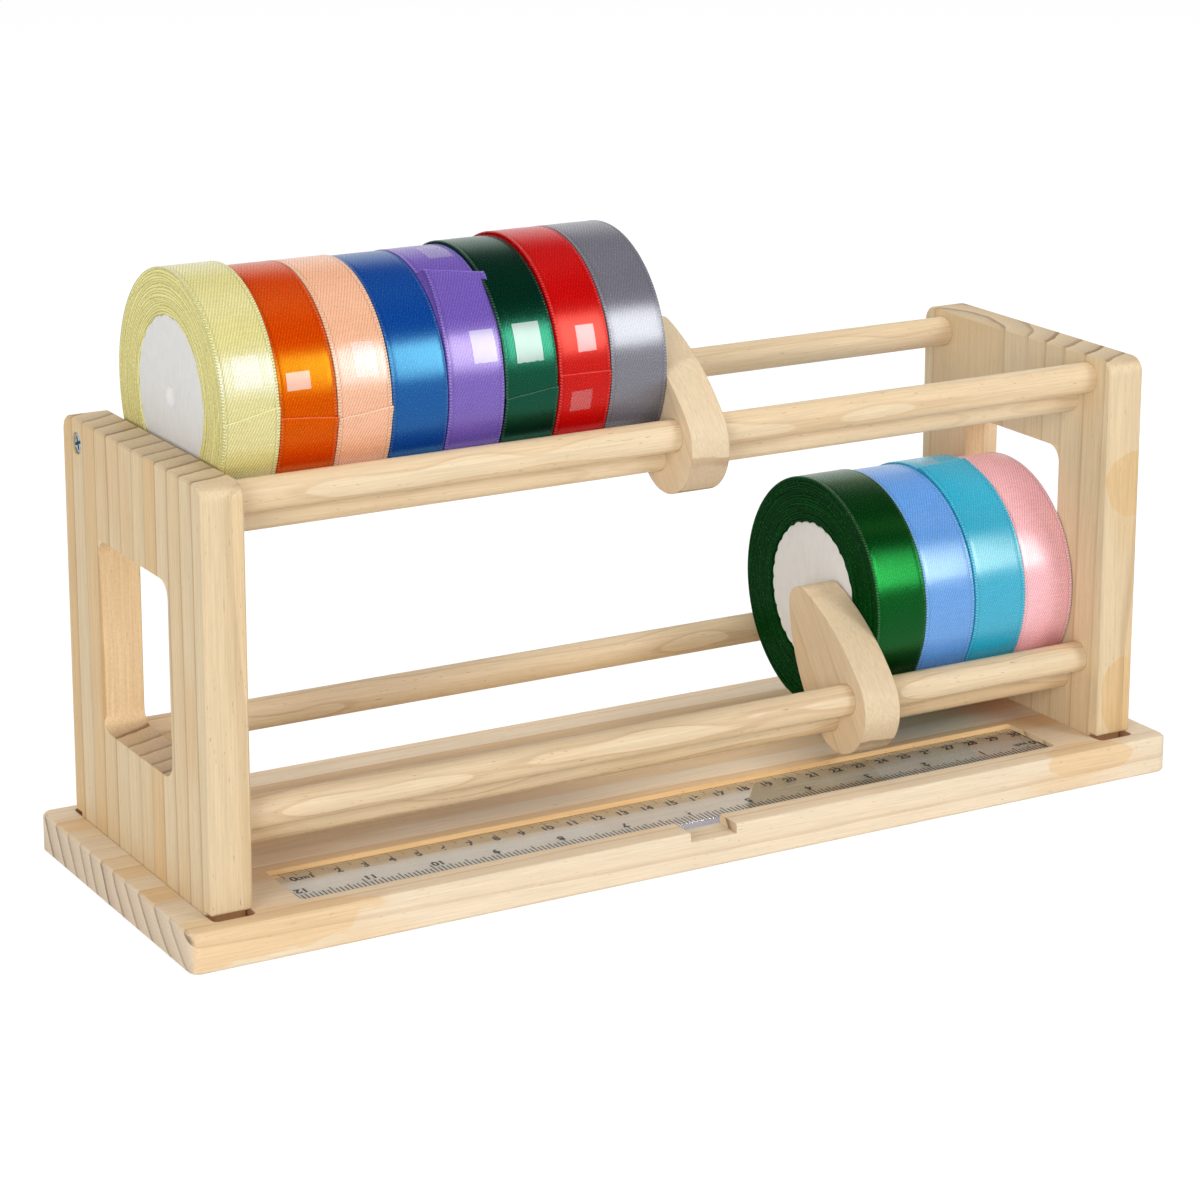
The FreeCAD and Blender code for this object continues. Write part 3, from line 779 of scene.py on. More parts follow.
def satin_material(name, end_angle, slant, colour, gloss, look):
    """Satin face: slanted lines of staggered floats, a cord at both selvedges whose stitches get painted glints
    and painted shade, and painted light along the cut end.
    """
    material, tree, shader = new_material(
        "satin_" + name, roughness=0.25, anisotropic=0.3, ior=1.6, specular_ior_level=1.0
    )
    woven = add(tree, "UVMap", uv_map="weave").outputs[0]
    across, along, _ = add(tree, "SeparateXYZ", {0: woven}).outputs
    _, radius, width = roll_frame(name)
    half = width / (2 * MM)
    twill = weave_lines(tree, across, along, look.twill, TWILL_LEAN)
    ribs = weave_lines(tree, across, along, look.ribs, RIB_LEAN)
    streaks = speckle(tree, stretch(tree, woven, (3.2, 0.10, 1)), 1.0, 3.0, 0.6)
    slubs = speckle(tree, stretch(tree, woven, (0.12, 1.4, 1)), 1.0, 2.0, 0.6)
    grain = speckle(tree, woven, 1.9, 2.0, 0.7)
    from_middle = calc(tree, "ABSOLUTE", across)
    edge = spread(tree, from_middle, half - CORD_REACH[1], half - CORD_REACH[0])
    # painted shade along the groove at each hem
    hem_groove_shade = calc(tree, "ABSOLUTE", calc(tree, "SUBTRACT", from_middle, half - HEM_INSET))
    hem_groove_shade = spread(tree, hem_groove_shade, 0.0, HEM_WIDTH, 1.0, 0.0)
    stitch = selvedge_stitch(tree, woven, from_middle, along)
    slope = math.radians(slant) * radius / width
    start = math.radians(180 - end_angle) * radius / MM
    from_cut = calc(tree, "MULTIPLY_ADD", across, slope, calc(tree, "SUBTRACT", along, start))
    # painted light along the cut end, made uneven by the slubs
    cut_edge_light = spread(tree, calc(tree, "MULTIPLY_ADD", slubs, 0.5, from_cut), *CUT_LIGHT_REACH, CUT_LIGHT_STRENGTH, 0.0)

    shade = product(
        tree,
        spread(tree, streaks, *NOISE_SPAN, 0.94, 1.05),
        spread(tree, slubs, *NOISE_SPAN, 0.95, 1.05),
        spread(tree, grain, *NOISE_SPAN, 0.90, 1.10),
        spread(tree, ribs, *WAVE_SPAN, 0.84, 1.13),
        spread(tree, twill, *WAVE_SPAN, 0.93, 1.05),
        spread(tree, hem_groove_shade, 0, 1, 1.0, HEM_GROOVE_PAINTED_SHADE),
    )
    # the stitch pattern is the cord's own weave; its light and dark colours are painted glints and painted shade,
    # and the light one also paints the light along the cut end
    bright = [min(1, CORD_GLINT_LIFT + CORD_GLINT * value) for value in colour]
    dark = [CORD_PAINTED_SHADE * value for value in colour]
    tint = blend(tree, edge, shaded(tree, colour, shade), blend(tree, stitch, dark, bright))
    gleam = product(
        tree,
        spread(tree, ribs, *WAVE_SPAN, 0.68, 1.0),
        spread(tree, grain, *NOISE_SPAN, 0.80, 1.0),
        spread(tree, twill, *WAVE_SPAN, 0.88, 1.0),
    )
    tangent = add(tree, "Tangent", direction_type="UV_MAP", uv_map="weave").outputs[0]
    feed(tree, shader, base_color=blend(tree, cut_edge_light, tint, bright), tangent=tangent)
    feed(tree, shader, specular_tint=shaded(tree, gloss, gleam))
    feed(tree, shader, roughness=spread(tree, grain, 0.25, 0.75, 0.20, 0.30))
    height = calc(tree, "MULTIPLY_ADD", ribs, 0.25, calc(tree, "MULTIPLY", twill, 0.40))
    height = calc(tree, "MULTIPLY_ADD", grain, 1.2, height)
    height = calc(tree, "MULTIPLY_ADD", calc(tree, "MULTIPLY", stitch, edge), 3.0, height)
    relief(tree, shader, height, look.weave_depth, 1.0)
    return material


def layered_material(name, colour, gloss):
    """Side of a wound roll: thin edges of many turns, with painted shade in the grooves between them, painted
    gleam on their crests and painted glints of loose thread.
    """
    material, tree, shader = new_material(
        "layers_" + name, roughness=0.5, specular_ior_level=0.04, specular_tint=gloss
    )
    woven = add(tree, "UVMap", uv_map="weave").outputs[0]
    outward = add(tree, "SeparateXYZ", {0: woven}).outputs[0]
    drift = speckle(tree, stretch(tree, woven, (0.5, 0.03, 1)), 1.0, 2.0)
    turns = calc(tree, "MULTIPLY_ADD", drift, LAYER_DRIFT, outward)
    wave = calc(tree, "SINE", calc(tree, "MULTIPLY", turns, math.tau / LAYER_DISTANCE))
    groove = spread(tree, wave, -0.9, 0.2)
    painted_crest_gleam = product(tree, spread(tree, wave, 0.35, 1.0), spread(tree, drift, 0.35, 0.6, *CREST_GLEAM))
    picots = speckle(tree, stretch(tree, woven, (1.7, 1.2, 1)), 1.0, 2.0, 0.7)
    glints = spread(tree, picots, 0.58, 0.66)
    full = sum(colour) / 3
    # painted shade in the grooves: a dark ribbon's grooves are nearly black, and a pale one's keep its colour
    groove_shade = spread(tree, groove, 0, 1, 0.32 + 0.86 * full, 1.45 - 0.45 * full)
    picot_shade = spread(tree, picots, 0.3, 0.65, 0.78 + 0.14 * full, 1.1)
    tint = shaded(tree, colour, product(tree, groove_shade, picot_shade))
    # painted glints and painted crest gleam, blended into the colour
    bright = [min(1, GLINT_GLOSS * gleam + GLINT_BRIGHT * value) for value, gleam in zip(colour, gloss)]
    shine = calc(tree, "MAXIMUM", calc(tree, "MULTIPLY", glints, GLINT_STRENGTH), painted_crest_gleam)
    tint = blend(tree, shine, tint, bright)
    feed(tree, shader, base_color=tint, roughness=spread(tree, glints, 0, 1, 0.62, 0.30))
    height = calc(tree, "MULTIPLY_ADD", picots, 1.2, groove)
    relief(tree, shader, height, LAYER_DEPTH * MM, 0.9)
    return material


class RACK_OT_ribbon_rolls(bpy.types.Operator):
    """Wind a satin roll in place of each plain ring"""

    bl_idname = "rack.ribbon_rolls"
    bl_label = "Ribbon rolls"

    def execute(self, context):
        look = context.scene.rack_ribbon
        core_look = context.scene.rack_core
        for name, end_angle, slant, lift, curl, slide, lobes in ROLLS:
            colour = tuple(getattr(context.scene.rack_satin, name))
            gloss = tuple(getattr(context.scene.rack_gloss, name))
            mesh = wound_ribbon(name, end_angle, slant, lift, curl, slide, lobes, look, core_look)
            mesh.materials.append(satin_material(name, end_angle, slant, colour, gloss, look))
            mesh.materials.append(layered_material(name, colour, gloss))
            axis, _, _ = roll_frame(name)
            roll = new_piece("wound_" + name, mesh, "spool_" + name, Matrix.Translation(axis))
            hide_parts("ribbon_" + name)
        return {"FINISHED"}


# ---------------------------------------------------------------- foam cores
FOAM_DEPTH = 0.12
RIM_ROUNDING = 0.3
FOAM_WELD = 0.01
FOAM_EDGE = 40
LOBE_STEPS = 8


def foam_disc(name, lobes, look):
    """Foam disc with a scalloped rim and a shallow dimple in each face."""
    low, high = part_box("core_" + name)
    half = (high.x - low.x) / 2
    radius = (high.y - low.y) / 2
    dimple = look.dimple_radius
    face = [
        (half - look.dimple_depth, 0.0),
        (half - look.dimple_depth, dimple * 0.62),
        (half - look.dimple_depth * 0.5, dimple * 0.86),
        (half - 0.05 * MM, dimple),
        (half, dimple * 1.12),
        (half, radius * 0.5),
        (half, radius * 0.8),
    ]
    steps = lobes * LOBE_STEPS
    builder = bmesh.new()
    rows = []
    for step in range(steps):
        angle = math.tau * step / steps
        rim = scalloped(angle, lobes, look, radius)
        profile = face + [(half, rim - RIM_ROUNDING * MM), (half - RIM_ROUNDING * MM, rim)]
        profile += [(-x, r) for x, r in reversed(profile)]
        row = [builder.verts.new((x, r * math.cos(angle), r * math.sin(angle))) for x, r in profile]
        rows.append(row)
    grid_faces(builder, rows, closed=True)
    bmesh.ops.remove_doubles(builder, verts=builder.verts, dist=FOAM_WELD * MM)
    bmesh.ops.recalc_face_normals(builder, faces=builder.faces)
    return finish_mesh(builder, "foam_" + name, FOAM_EDGE)


def foam_material(look):
    material, tree, shader = new_material("foam", roughness=0.85, specular_ior_level=0.25)
    place = object_place(tree)
    cells = add(tree, "TexVoronoi", {"Vector": place, "Scale": 0.42}).outputs["Distance"]
    mottle = speckle(tree, stretch(tree, place, (1, 1, 0.35)), 0.55, 3.0, 0.6)
    fine = speckle(tree, place, 2.2, 2.0)
    mottle_shade = spread(tree, mottle, *NOISE_SPAN, 0.965, 1.01)
    fine_shade = spread(tree, fine, *NOISE_SPAN, 0.98, 1.01)
    feed(tree, shader, base_color=shaded(tree, tuple(look.foam), product(tree, mottle_shade, fine_shade)))
    height = calc(tree, "MULTIPLY_ADD", fine, 0.5, cells)
    relief(tree, shader, calc(tree, "ADD", height, mottle), FOAM_DEPTH * MM, 0.6)
    return material


class RACK_OT_foam_cores(bpy.types.Operator):
    """Put a scalloped foam disc in the middle of each roll"""

    bl_idname = "rack.foam_cores"
    bl_label = "Foam cores"

    def execute(self, context):
        look = context.scene.rack_core
        material = foam_material(look)
        for name, *_, lobes in ROLLS:
            mesh = foam_disc(name, lobes, look)
            mesh.materials.append(material)
            axis, _, _ = roll_frame(name)
            disc = new_piece("disc_" + name, mesh, "spool_" + name, Matrix.Translation(axis))
            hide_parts("core_" + name)
            dress("core_" + name, material)
        return {"FINISHED"}


# ---------------------------------------------------------------- tapes on the ribbon ends
# roll, left and right edge along the rack, lowest and highest angle above the roll's front, haze
TAPES = (
    ("pale_yellow", -165.3, -156.0, 13.5, 28.0, 0.24),
    ("orange", -146.8, -138.4, 12.0, 20.0, 0.28),
    ("peach", -122.0, -114.0, 14.0, 30.0, 0.26),
    ("lavender", -80.0, -71.0, 74.0, 90.0, 0.17),
    ("lavender", -78.7, -70.0, 14.0, 29.0, 0.28),
    ("dark_green", -63.0, -53.0, 11.0, 29.0, 0.32),
    ("red", -40.0, -33.0, 11.5, 23.5, 0.28),
    ("red", -43.0, -35.0, -15.5, -6.0, 0.11),
    ("turquoise", 129.0, 138.0, 84.0, 95.0, 0.18),
)
TAPE_STEPS = 12
TAPE_COLUMNS = 8
TAPE_LEAN = 0.9
TAPE_TEAR = 0.35
TEAR_PITCH = 6
TAPE_LIFT = 0.06
TAPE_PUFF = 0.05
PUFF_PITCH = 3


def tape_patch(name, left, right, low_angle, high_angle, number):
    """A square of clear tape smoothed over a roll, with a torn lower edge."""
    axis, radius, _ = roll_frame(name)
    builder = bmesh.new()
    rows = []
    lean = TAPE_LEAN * noise.noise(Vector((number, 3.3, 0)))
    for step in range(TAPE_STEPS + 1):
        share = step / TAPE_STEPS
        row = []
        for column in range(TAPE_COLUMNS + 1):
            across = column / TAPE_COLUMNS
            torn = TAPE_TEAR * noise.noise(Vector((across * TEAR_PITCH, number, 1.0))) * (1 - share)
            angle = math.radians(low_angle + (high_angle - low_angle) * share + torn + lean * (across - 0.5))
            spot = Vector((across * PUFF_PITCH, share * PUFF_PITCH, number))
            puff = TAPE_PUFF * (1 + noise.noise(spot))
            reach = radius + (TAPE_LIFT + puff) * MM
            x = (left + (right - left) * across + lean * (share - 0.5)) * MM - axis.x
            row.append(builder.verts.new((x, -reach * math.cos(angle), reach * math.sin(angle))))
        rows.append(row)
    for skin in grid_faces(builder, rows):
        skin.smooth = True
    bmesh.ops.recalc_face_normals(builder, faces=builder.faces)
    return finish_mesh(builder, "tape_%s_%d" % (name, number)), axis


def tape_material(number, haze):
    """Clear tape that greys what lies under it by its haze, with faint wrinkles."""
    material, tree, shader = new_material(
        "tape_%d" % number,
        base_color=(0.92, 0.92, 0.94),
        roughness=0.30,
        specular_ior_level=1.0,
        ior=1.8,
        alpha=haze,
    )
    place = object_place(tree)
    wrinkles = speckle(tree, place, 0.55, 2.0)
    relief(tree, shader, wrinkles, 0.10 * MM, 0.5)
    return material


class RACK_OT_tapes(bpy.types.Operator):
    """Stick clear tape over the ribbon ends"""

    bl_idname = "rack.tapes"
    bl_label = "Tapes"

    def execute(self, context):
        for number, (name, left, right, low_angle, high_angle, haze) in enumerate(TAPES):
            mesh, axis = tape_patch(name, left, right, low_angle, high_angle, number)
            mesh.materials.append(tape_material(number, haze))
            patch = new_piece(mesh.name, mesh, "spool_" + name, Matrix.Translation(axis))
        return {"FINISHED"}


# ---------------------------------------------------------------- ruler
CENTIMETRES = 30
INCHES = 12
INCH = 25.4
SIXTEENTHS = 16
BEVEL_WIDTH = 4.5
BACK_EDGE = 1.75
BACK_LEAN = 0.4
BACK_BLANK = 0.6
FRONT_CORNER = 1.2
EDGE_ROUND = 0.15
SHARP_EDGE = 40
ZERO_X = -149.4
INCH_ZERO_X = 152.4
PRINT_LIFT = 0.03
CENTIMETRE_ROW = 8.1
INCH_ROW = 9.1
# painted shade for rays that have bounced twice or more, such as inside the ruler
EDGE_PAINTED_SHADE = (0.38, 0.36, 0.40)
CENTIMETRE_TICKS = ((10, 6.6), (5, 5.3), (1, 4.2))
INCH_TICKS = ((16, 8.7), (8, 7.4), (4, 6.7), (2, 6.1), (1, 5.5))
# widths of the marks as shares of the line: whole and half centimetres, millimetres, inches
LONG_LINE = 0.9
SHORT_LINE = 0.62
INCH_LINE = 1.15
INCH_BLANK = 0.3
LETTER_HEIGHT = 0.70
LETTER_WEIGHT = 0.055


def tick_length(count, lengths):
    """Length of the tick at a count, from the coarsest step that it falls on."""
    return next(length for step, length in lengths if count % step == 0)


def tick(builder, x, y_from, y_to, height_at, width):
    """A printed line across the ruler, just above its surface."""
    left, right = x - width / 2, x + width / 2
    corners = []
    for px, py in ((left, y_from), (right, y_from), (right, y_to), (left, y_to)):
        corners.append(builder.verts.new((px * MM, py * MM, height_at(py) * MM)))
    builder.faces.new(corners)


def printed_text(builder, text, place, size, turned):
    """Add a number lying on the ruler, centred on a place in millimetres, to the marks."""
    curve = bpy.data.curves.new("number", "FONT")
    curve.body = text
    curve.size = size / LETTER_HEIGHT
    curve.offset = size * LETTER_WEIGHT
    curve.align_x = "CENTER"
    curve.align_y = "CENTER"
    writing = bpy.data.objects.new("number", curve)
    bpy.context.scene.collection.objects.link(writing)
    bpy.context.view_layer.update()
    shown = writing.evaluated_get(bpy.context.evaluated_depsgraph_get())
    mesh = bpy.data.meshes.new_from_object(shown)
    turn = Matrix.Rotation(math.pi * turned, 4, "Z")
    mesh.transform(Matrix.Translation(Vector(place) * MM) @ turn)
    builder.from_mesh(mesh)
    bpy.data.meshes.remove(mesh)
    bpy.data.objects.remove(writing)
    bpy.data.curves.remove(curve)


def ruler_surface(y):
    """Height of the ruler's top at a distance from front to back, in millimetres."""
    low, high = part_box("ruler")
    fall = max(0, y - (high.y / MM - BEVEL_WIDTH)) / BEVEL_WIDTH
    return high.z / MM - fall * ((high.z - low.z) / MM - BACK_EDGE)


def ruler_body():
    """Clear strip with a shallow bevel along its back edge and rounded front corners.

    Its back face leans forward, so that it clears the well's wall when the front edge is raised.
    """
    low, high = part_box("ruler")
    profile = [(low.y, low.z), (high.y, low.z)]
    for y in (high.y - BACK_LEAN * MM, high.y - BEVEL_WIDTH * MM, low.y):
        profile.append((y, ruler_surface(y / MM) * MM))
    builder = bmesh.new()
    ends = [[builder.verts.new((x, y, z)) for y, z in profile] for x in (low.x, high.x)]
    builder.faces.new(ends[0])
    builder.faces.new(list(reversed(ends[1])))
    for index in range(len(profile)):
        after = (index + 1) % len(profile)
        builder.faces.new((ends[0][index], ends[1][index], ends[1][after], ends[0][after]))
    bmesh.ops.recalc_face_normals(builder, faces=builder.faces)
    corners = [builder.edges.get((end[0], end[-1])) for end in ends]
    bmesh.ops.bevel(builder, geom=corners, offset=FRONT_CORNER * MM, segments=6, affect="EDGES", profile=0.5)
    sharp = [edge for edge in builder.edges if edge.calc_face_angle(0) > math.radians(SHARP_EDGE)]
    bmesh.ops.bevel(builder, geom=sharp, offset=EDGE_ROUND * MM, segments=2, affect="EDGES", profile=0.5)
    return finish_mesh(builder, "clear_ruler")


def ruler_marks(look):
    """Centimetres along the bevelled back edge, inches the other way up along the front edge."""
    low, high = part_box("ruler")
    front, back, top = low.y / MM, high.y / MM, high.z / MM
    line = look.line / MM

    def printed_level(y):
        return ruler_surface(y) + PRINT_LIFT

    builder = bmesh.new()
    bevel_foot = back - BEVEL_WIDTH
    for count in range(CENTIMETRES * 10 + 1):
        reach = back - tick_length(count, CENTIMETRE_TICKS)
        width = line * (SHORT_LINE if count % 5 else LONG_LINE)
        x = ZERO_X + count
        tick(builder, x, max(reach, bevel_foot), back - BACK_BLANK, printed_level, width)
        if reach < bevel_foot:
            tick(builder, x, reach, bevel_foot, printed_level, width)
    for count in range(INCHES * SIXTEENTHS + 1):
        reach = front + tick_length(count, INCH_TICKS)
        x = INCH_ZERO_X - count * INCH / SIXTEENTHS
        tick(builder, x, front + INCH_BLANK, reach, printed_level, line * INCH_LINE)
    # text, how far along the ruler from its scale's zero and how much of the digits' height
    centimetre_row = [(str(number), 10 * number - 0.8, 1.0) for number in range(1, CENTIMETRES + 1)]
    centimetre_row = [("0", 2.5, 1.0)] + centimetre_row + [("cm", 5.6, 0.85)]
    for text, along, share in centimetre_row:
        place = (ZERO_X + along, back - CENTIMETRE_ROW, top + PRINT_LIFT)
        printed_text(builder, text, place, look.digit * share, False)
    inch_row = []
    for number in range(1, INCHES + 1):
        aside = 3.3 if number > 9 else 0
        inch_row.append((str(number), aside - INCH * number, 0, 1.0))
    for text, along, up, share in inch_row + [("0", -2.2, 0.3, 1.0), ("inch", -7.4, 0.3, 0.7)]:
        place = (INCH_ZERO_X + along, front + INCH_ROW + up, top + PRINT_LIFT)
        printed_text(builder, text, place, look.digit * share, True)
    return finish_mesh(builder, "ruler_marks")


def clear_plastic_material(look):
    """Clear moulded plastic with light scuffs; lamplight passes straight through it, and deeper rays pass out
    through a grey painted shade that darkens its edges.
    """
    material, tree, shader = new_material(
        "clear_plastic", base_color=tuple(look.plastic), roughness=0.05, ior=1.60, transmission_weight=1.0
    )
    place = object_place(tree)
    scuffs = speckle(tree, stretch(tree, place, (0.25, 1.6, 1.6)), 0.8, 3.0, 0.7)
    feed(tree, shader, roughness=spread(tree, scuffs, 0.45, 0.75, 0.02, 0.10))
    relief(tree, shader, scuffs, 0.004 * MM, 0.4)
    path = add(tree, "LightPath")
    # rays two bounces deep or more pass straight out, darkened by a painted shade
    deep = calc(tree, "GREATER_THAN", path.outputs["Ray Depth"], 1.5)
    straight = calc(tree, "MAXIMUM", path.outputs["Is Shadow Ray"], path.outputs["Is Diffuse Ray"])
    lit = add(tree, "BsdfTransparent", {0: blend(tree, straight, EDGE_PAINTED_SHADE, (1.0, 1.0, 1.0))})
    straight = calc(tree, "MAXIMUM", straight, deep)
    mix = add(tree, "MixShader", {0: straight, 1: shader.outputs[0], 2: lit.outputs[0]})
    tree.links.new(mix.outputs[0], tree.nodes["Material Output"].inputs[0])
    return material


def ink_material(look):
    material, tree, shader = new_material("ruler_ink", roughness=0.4)
    place = object_place(tree)
    wear = spread(tree, speckle(tree, place, 1.4, 2.0), 0.35, 0.7)
    faded = [min(1, value * 3 + 0.02) for value in look.ink]
    feed(tree, shader, base_color=blend(tree, wear, tuple(look.ink), faded))
    return material


class RACK_OT_ruler(bpy.types.Operator):
    """Make the ruler clear and print its marks"""

    bl_idname = "rack.ruler"
    bl_label = "Ruler"

    def execute(self, context):
        look = context.scene.rack_ruler
        plastic = clear_plastic_material(look)
        dress("ruler", plastic)
        mesh = ruler_body()
        mesh.materials.append(plastic)
        strip = new_piece("clear_ruler", mesh, "ruler")
        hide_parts("ruler")
        mesh = ruler_marks(look)
        mesh.materials.append(ink_material(look))
        marks = new_piece("ruler_marks", mesh, "ruler")
        return {"FINISHED"}


# ---------------------------------------------------------------- screws
SCREW_HEAD_RADIUS = 3.35
SCREW_NECK_RADIUS = 2.2
SCREW_SEAT = 1.2
SCREW_SINK = 0.45
SCREW_THICKNESS = 0.35
SCREW_RIM = 0.12
SCREW_RIM_DEPTH = 0.08
SCREW_EDGE = 35
HEAD_STEPS = 64
CROSS_ARM = 2.5
CROSS_HALF_WIDTH = 0.55
CROSS_DEPTH = 0.55
CROSS_FLOOR = 0.62
CROSS_LEAN = 20


def screw_head():
    """Flat round head with a cross recess, facing +X; the recess takes the second material, its painted shade."""
    rings = (
        (-SCREW_SEAT, SCREW_NECK_RADIUS),
        (-SCREW_SINK - SCREW_THICKNESS, SCREW_HEAD_RADIUS),
        (-SCREW_SINK - SCREW_RIM_DEPTH, SCREW_HEAD_RADIUS),
        (-SCREW_SINK, SCREW_HEAD_RADIUS - SCREW_RIM),
    )
    builder = bmesh.new()
    rows = []
    for x, r in rings:
        row = []
        for step in range(HEAD_STEPS):
            angle = math.tau * step / HEAD_STEPS
            row.append(builder.verts.new((x * MM, r * MM * math.cos(angle), r * MM * math.sin(angle))))
        rows.append(row + row[:1])
    grid_faces(builder, rows)
    builder.faces.new(list(reversed(rows[0][1:])))
    outline = []
    half = CROSS_HALF_WIDTH
    for quarter in range(4):
        turn = Matrix.Rotation(math.radians(90 * quarter + CROSS_LEAN), 2)
        outline += [turn @ Vector(corner) for corner in ((CROSS_ARM, -half), (CROSS_ARM, half), (half, half))]
    cross = []
    for x, size in ((-SCREW_SINK, 1), (-SCREW_SINK - CROSS_DEPTH, CROSS_FLOOR)):
        row = [builder.verts.new(Vector((x, size * p.x, size * p.y)) * MM) for p in outline]
        cross.append(row + row[:1])
    for wall in [builder.faces.new(cross[1][1:])] + grid_faces(builder, cross):
        wall.material_index = 1
    loops = []
    for line in (rows[-1], cross[0]):
        loops += [builder.edges.get(pair) for pair in zip(line, line[1:])]
    bmesh.ops.triangle_fill(builder, use_beauty=True, edges=loops)
    bmesh.ops.recalc_face_normals(builder, faces=builder.faces)
    return finish_mesh(builder, "screw_head", SCREW_EDGE)


def zinc_material():
    material, tree, shader = new_material("zinc_plate", metallic=1.0, roughness=0.28)
    place = object_place(tree)
    spangle = speckle(tree, place, 0.9, 3.0, 0.6)
    zinc = blend(tree, spangle, srgb(96, 132, 152), srgb(196, 214, 222))
    feed(tree, shader, base_color=zinc, roughness=spread(tree, spangle, *NOISE_SPAN, 0.20, 0.42))
    relief(tree, shader, speckle(tree, place, 5.0, 2.0), 0.02 * MM, 0.5)
    return material


def recess_material():
    """Painted shade in the cross recess."""
    material, tree, shader = new_material("screw_recess", roughness=0.6)
    place = object_place(tree)
    recess_shade = blend(tree, speckle(tree, place, 2.0, 2.0), srgb(8, 16, 24), srgb(44, 58, 68))
    feed(tree, shader, base_color=recess_shade)
    return material


class RACK_OT_screws(bpy.types.Operator):
    """Seat a cross-head screw in the counterbore of each end panel"""

    bl_idname = "rack.screws"
    bl_label = "Screws"

    def execute(self, context):
        zinc = zinc_material()
        recess_shade = recess_material()
        low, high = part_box("upper_back_dowel")
        axis = (low + high) / 2
        for side, panel in ((-1, "left_end_panel"), (1, "right_end_panel")):
            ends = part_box(panel)
            x = ends[0].x if side < 0 else ends[1].x
            mesh = screw_head()
            mesh.materials.append(zinc)
            mesh.materials.append(recess_shade)
            turn = Matrix.Rotation(math.pi if side < 0 else 0, 4, "Z")
            place = Matrix.Translation((x, axis.y, axis.z)) @ turn
            new_piece("screw_" + panel.split("_")[0], mesh, "rack", place)
        return {"FINISHED"}


# ---------------------------------------------------------------- stage
CAMERA_PLACE = (-605.1, -1030.4, 440.4)
CAMERA_YAW = 30.03
CAMERA_PITCH = 13.56
CAMERA_ROLL = 0.11
CAMERA_SHIFT_UP = -0.1667
CAMERA_RANGE = (0.05, 20)
SENSOR_WIDTH = 36
# lamp, size, place and target in metres, whether it shows in even and in glossy light
LAMPS = (
    ("key", (0.62, 1.1), (1.05, -1.76, 1.02), (0, 0, 0.14), True, True),
    ("sheen", (0.62, 1.1), (1.06, -1.78, 1.03), (0, 0, 0.14), False, True),
    ("fill", (0.9, 0.9), (-1.60, -1.32, 0.60), (0, 0, 0.10), True, True),
    ("top", (1.4, 1.0), (0.1, 0.2, 1.9), (0, 0, 0.10), True, False),
)
FLOOR_HALF = 3
WALL_TOP = 0.45
CEILING = 0.72
CEILING_LIGHT = 0.07
SHADOW_SHARE = 0.22
FLOOR_LIGHT = 0.72
FLOOR_WHITE = 1.06


def camera_matrix():
    """Yaw to the right of +Y, pitch down and roll, in degrees."""
    yaw, pitch, roll = (math.radians(a) for a in (CAMERA_YAW, CAMERA_PITCH, CAMERA_ROLL))
    ahead = Vector((math.sin(yaw) * math.cos(pitch), math.cos(yaw) * math.cos(pitch), -math.sin(pitch)))
    right = Vector((math.cos(yaw), -math.sin(yaw), 0))
    up = right.cross(ahead)
    rolled = right * math.cos(roll) + up * math.sin(roll)
    axes = Matrix((rolled, rolled.cross(ahead), -ahead)).transposed().to_4x4()
    return Matrix.Translation(Vector(CAMERA_PLACE) * MM) @ axes


def area_lamp(name, power, size, place, target):
    data = bpy.data.lights.new(name, "AREA")
    data.energy = power
    data.shape = "RECTANGLE"
    data.size, data.size_y = size
    lamp = bpy.data.objects.new(name, data)
    lamp.location = place
    lamp.rotation_euler = (Vector(target) - Vector(place)).to_track_quat("-Z", "Y").to_euler()
    bpy.context.scene.collection.objects.link(lamp)
    return lamp


def white_room(look):
    """Even light, with a white backdrop all round that darkens towards the ceiling in reflections."""
    world = bpy.data.worlds.new("room")
    world.use_nodes = True
    tree = world.node_tree
    background = tree.nodes["Background"]
    background.inputs[0].default_value = (1, 1, 1, 1)
    rise = add(tree, "SeparateXYZ", {0: add(tree, "TexCoord").outputs["Generated"]}).outputs[2]
    wall = spread(tree, rise, WALL_TOP, CEILING, 1.0, CEILING_LIGHT)
    path = add(tree, "LightPath")
    mirrored = calc(tree, "MAXIMUM", path.outputs["Is Glossy Ray"], path.outputs["Is Transmission Ray"])
    strength = add(tree, "Mix", {0: mirrored, 2: look.room_light, 3: wall}).outputs[0]
    strength = add(tree, "Mix", {0: path.outputs["Is Camera Ray"], 2: strength, 3: 1.0}).outputs[0]
    tree.links.new(strength, background.inputs[1])
    return world


def floor_material(look):
    """Pale floor that shows white where it is lit and keeps a light shadow."""
    material, tree, shader = new_material("pale_floor", base_color=tuple(look.floor), roughness=0.9)
    shown = add(tree, "BsdfDiffuse", {0: (SHADOW_SHARE, SHADOW_SHARE, SHADOW_SHARE, 1)})
    glow = add(tree, "Emission", {0: (1, 1, 1, 1), 1: FLOOR_WHITE - SHADOW_SHARE * FLOOR_LIGHT})
    bright = add(tree, "AddShader", {0: shown.outputs[0], 1: glow.outputs[0]})
    path = add(tree, "LightPath")
    seen = calc(tree, "MAXIMUM", path.outputs["Is Camera Ray"], path.outputs["Is Glossy Ray"])
    seen = calc(tree, "MAXIMUM", seen, path.outputs["Is Transmission Ray"])
    mix = add(tree, "MixShader", {0: seen, 1: shader.outputs[0], 2: bright.outputs[0]})
    tree.links.new(mix.outputs[0], tree.nodes["Material Output"].inputs[0])
    return material


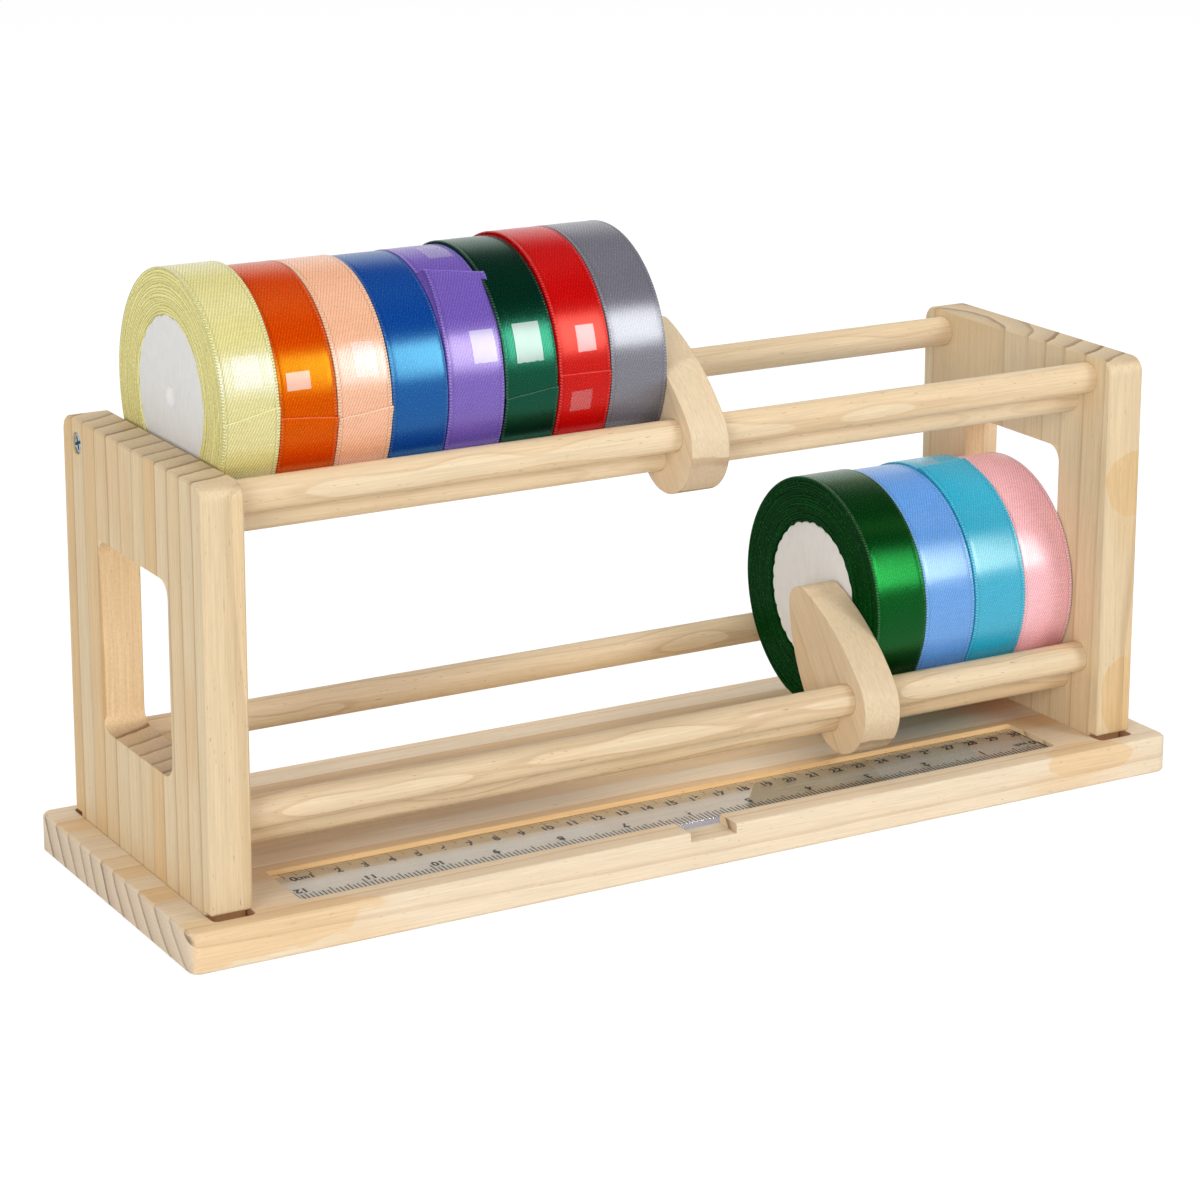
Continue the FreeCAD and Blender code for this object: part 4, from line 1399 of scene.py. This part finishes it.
class RACK_OT_stage(bpy.types.Operator):
    """Set up the floor, lamps, room light and camera"""

    bl_idname = "rack.stage"
    bl_label = "Stage"

    def execute(self, context):
        look = context.scene.rack_stage
        builder = bmesh.new()
        bmesh.ops.create_grid(builder, x_segments=8, y_segments=8, size=FLOOR_HALF)
        mesh = finish_mesh(builder, "floor")
        mesh.materials.append(floor_material(look))
        floor = bpy.data.objects.new("floor", mesh)
        context.scene.collection.objects.link(floor)
        for name, size, place, target, even, glossy in LAMPS:
            lamp = area_lamp(name, getattr(look, name + "_power"), size, place, target)
            lamp.visible_diffuse = even
            lamp.visible_glossy = glossy
        context.scene.world = white_room(look)
        data = bpy.data.cameras.new("camera")
        data.lens = look.lens
        data.sensor_width = SENSOR_WIDTH
        data.shift_y = CAMERA_SHIFT_UP
        data.clip_start, data.clip_end = CAMERA_RANGE
        camera = bpy.data.objects.new("camera", data)
        camera.matrix_world = camera_matrix()
        context.scene.collection.objects.link(camera)
        context.scene.camera = camera
        context.scene.view_settings.view_transform = "Standard"
        return {"FINISHED"}


# ---------------------------------------------------------------- panel and order of work
OPERATORS = (
    RACK_OT_timber,
    RACK_OT_ribbon_rolls,
    RACK_OT_foam_cores,
    RACK_OT_tapes,
    RACK_OT_ruler,
    RACK_OT_screws,
    RACK_OT_stage,
)


class RACK_PT_finishes(bpy.types.Panel):
    """Buttons for the rack's finishes, with their sizes and colours"""

    bl_idname = "RACK_PT_finishes"
    bl_label = "Ribbon Rack"
    bl_space_type = "VIEW_3D"
    bl_region_type = "UI"
    bl_category = "Ribbon Rack"

    def draw(self, context):
        for operator in OPERATORS:
            self.layout.operator(operator.bl_idname)
        for group_name, group in GROUPS.items():
            box = self.layout.box()
            for setting in group.__annotations__:
                box.prop(getattr(context.scene, group_name), setting)


def register():
    for group_name, group in GROUPS.items():
        bpy.utils.register_class(group)
        setattr(bpy.types.Scene, group_name, PointerProperty(type=group))
    for operator in OPERATORS:
        bpy.utils.register_class(operator)
    bpy.utils.register_class(RACK_PT_finishes)


def unregister():
    bpy.utils.unregister_class(RACK_PT_finishes)
    for operator in reversed(OPERATORS):
        bpy.utils.unregister_class(operator)
    for group_name, group in reversed(GROUPS.items()):
        delattr(bpy.types.Scene, group_name)
        bpy.utils.unregister_class(group)


def main():
    register()
    bpy.ops.rack.timber()
    bpy.ops.rack.ribbon_rolls()
    bpy.ops.rack.foam_cores()
    bpy.ops.rack.tapes()
    bpy.ops.rack.ruler()
    bpy.ops.rack.screws()
    bpy.ops.rack.stage()


if __name__ == "__main__":
    main()
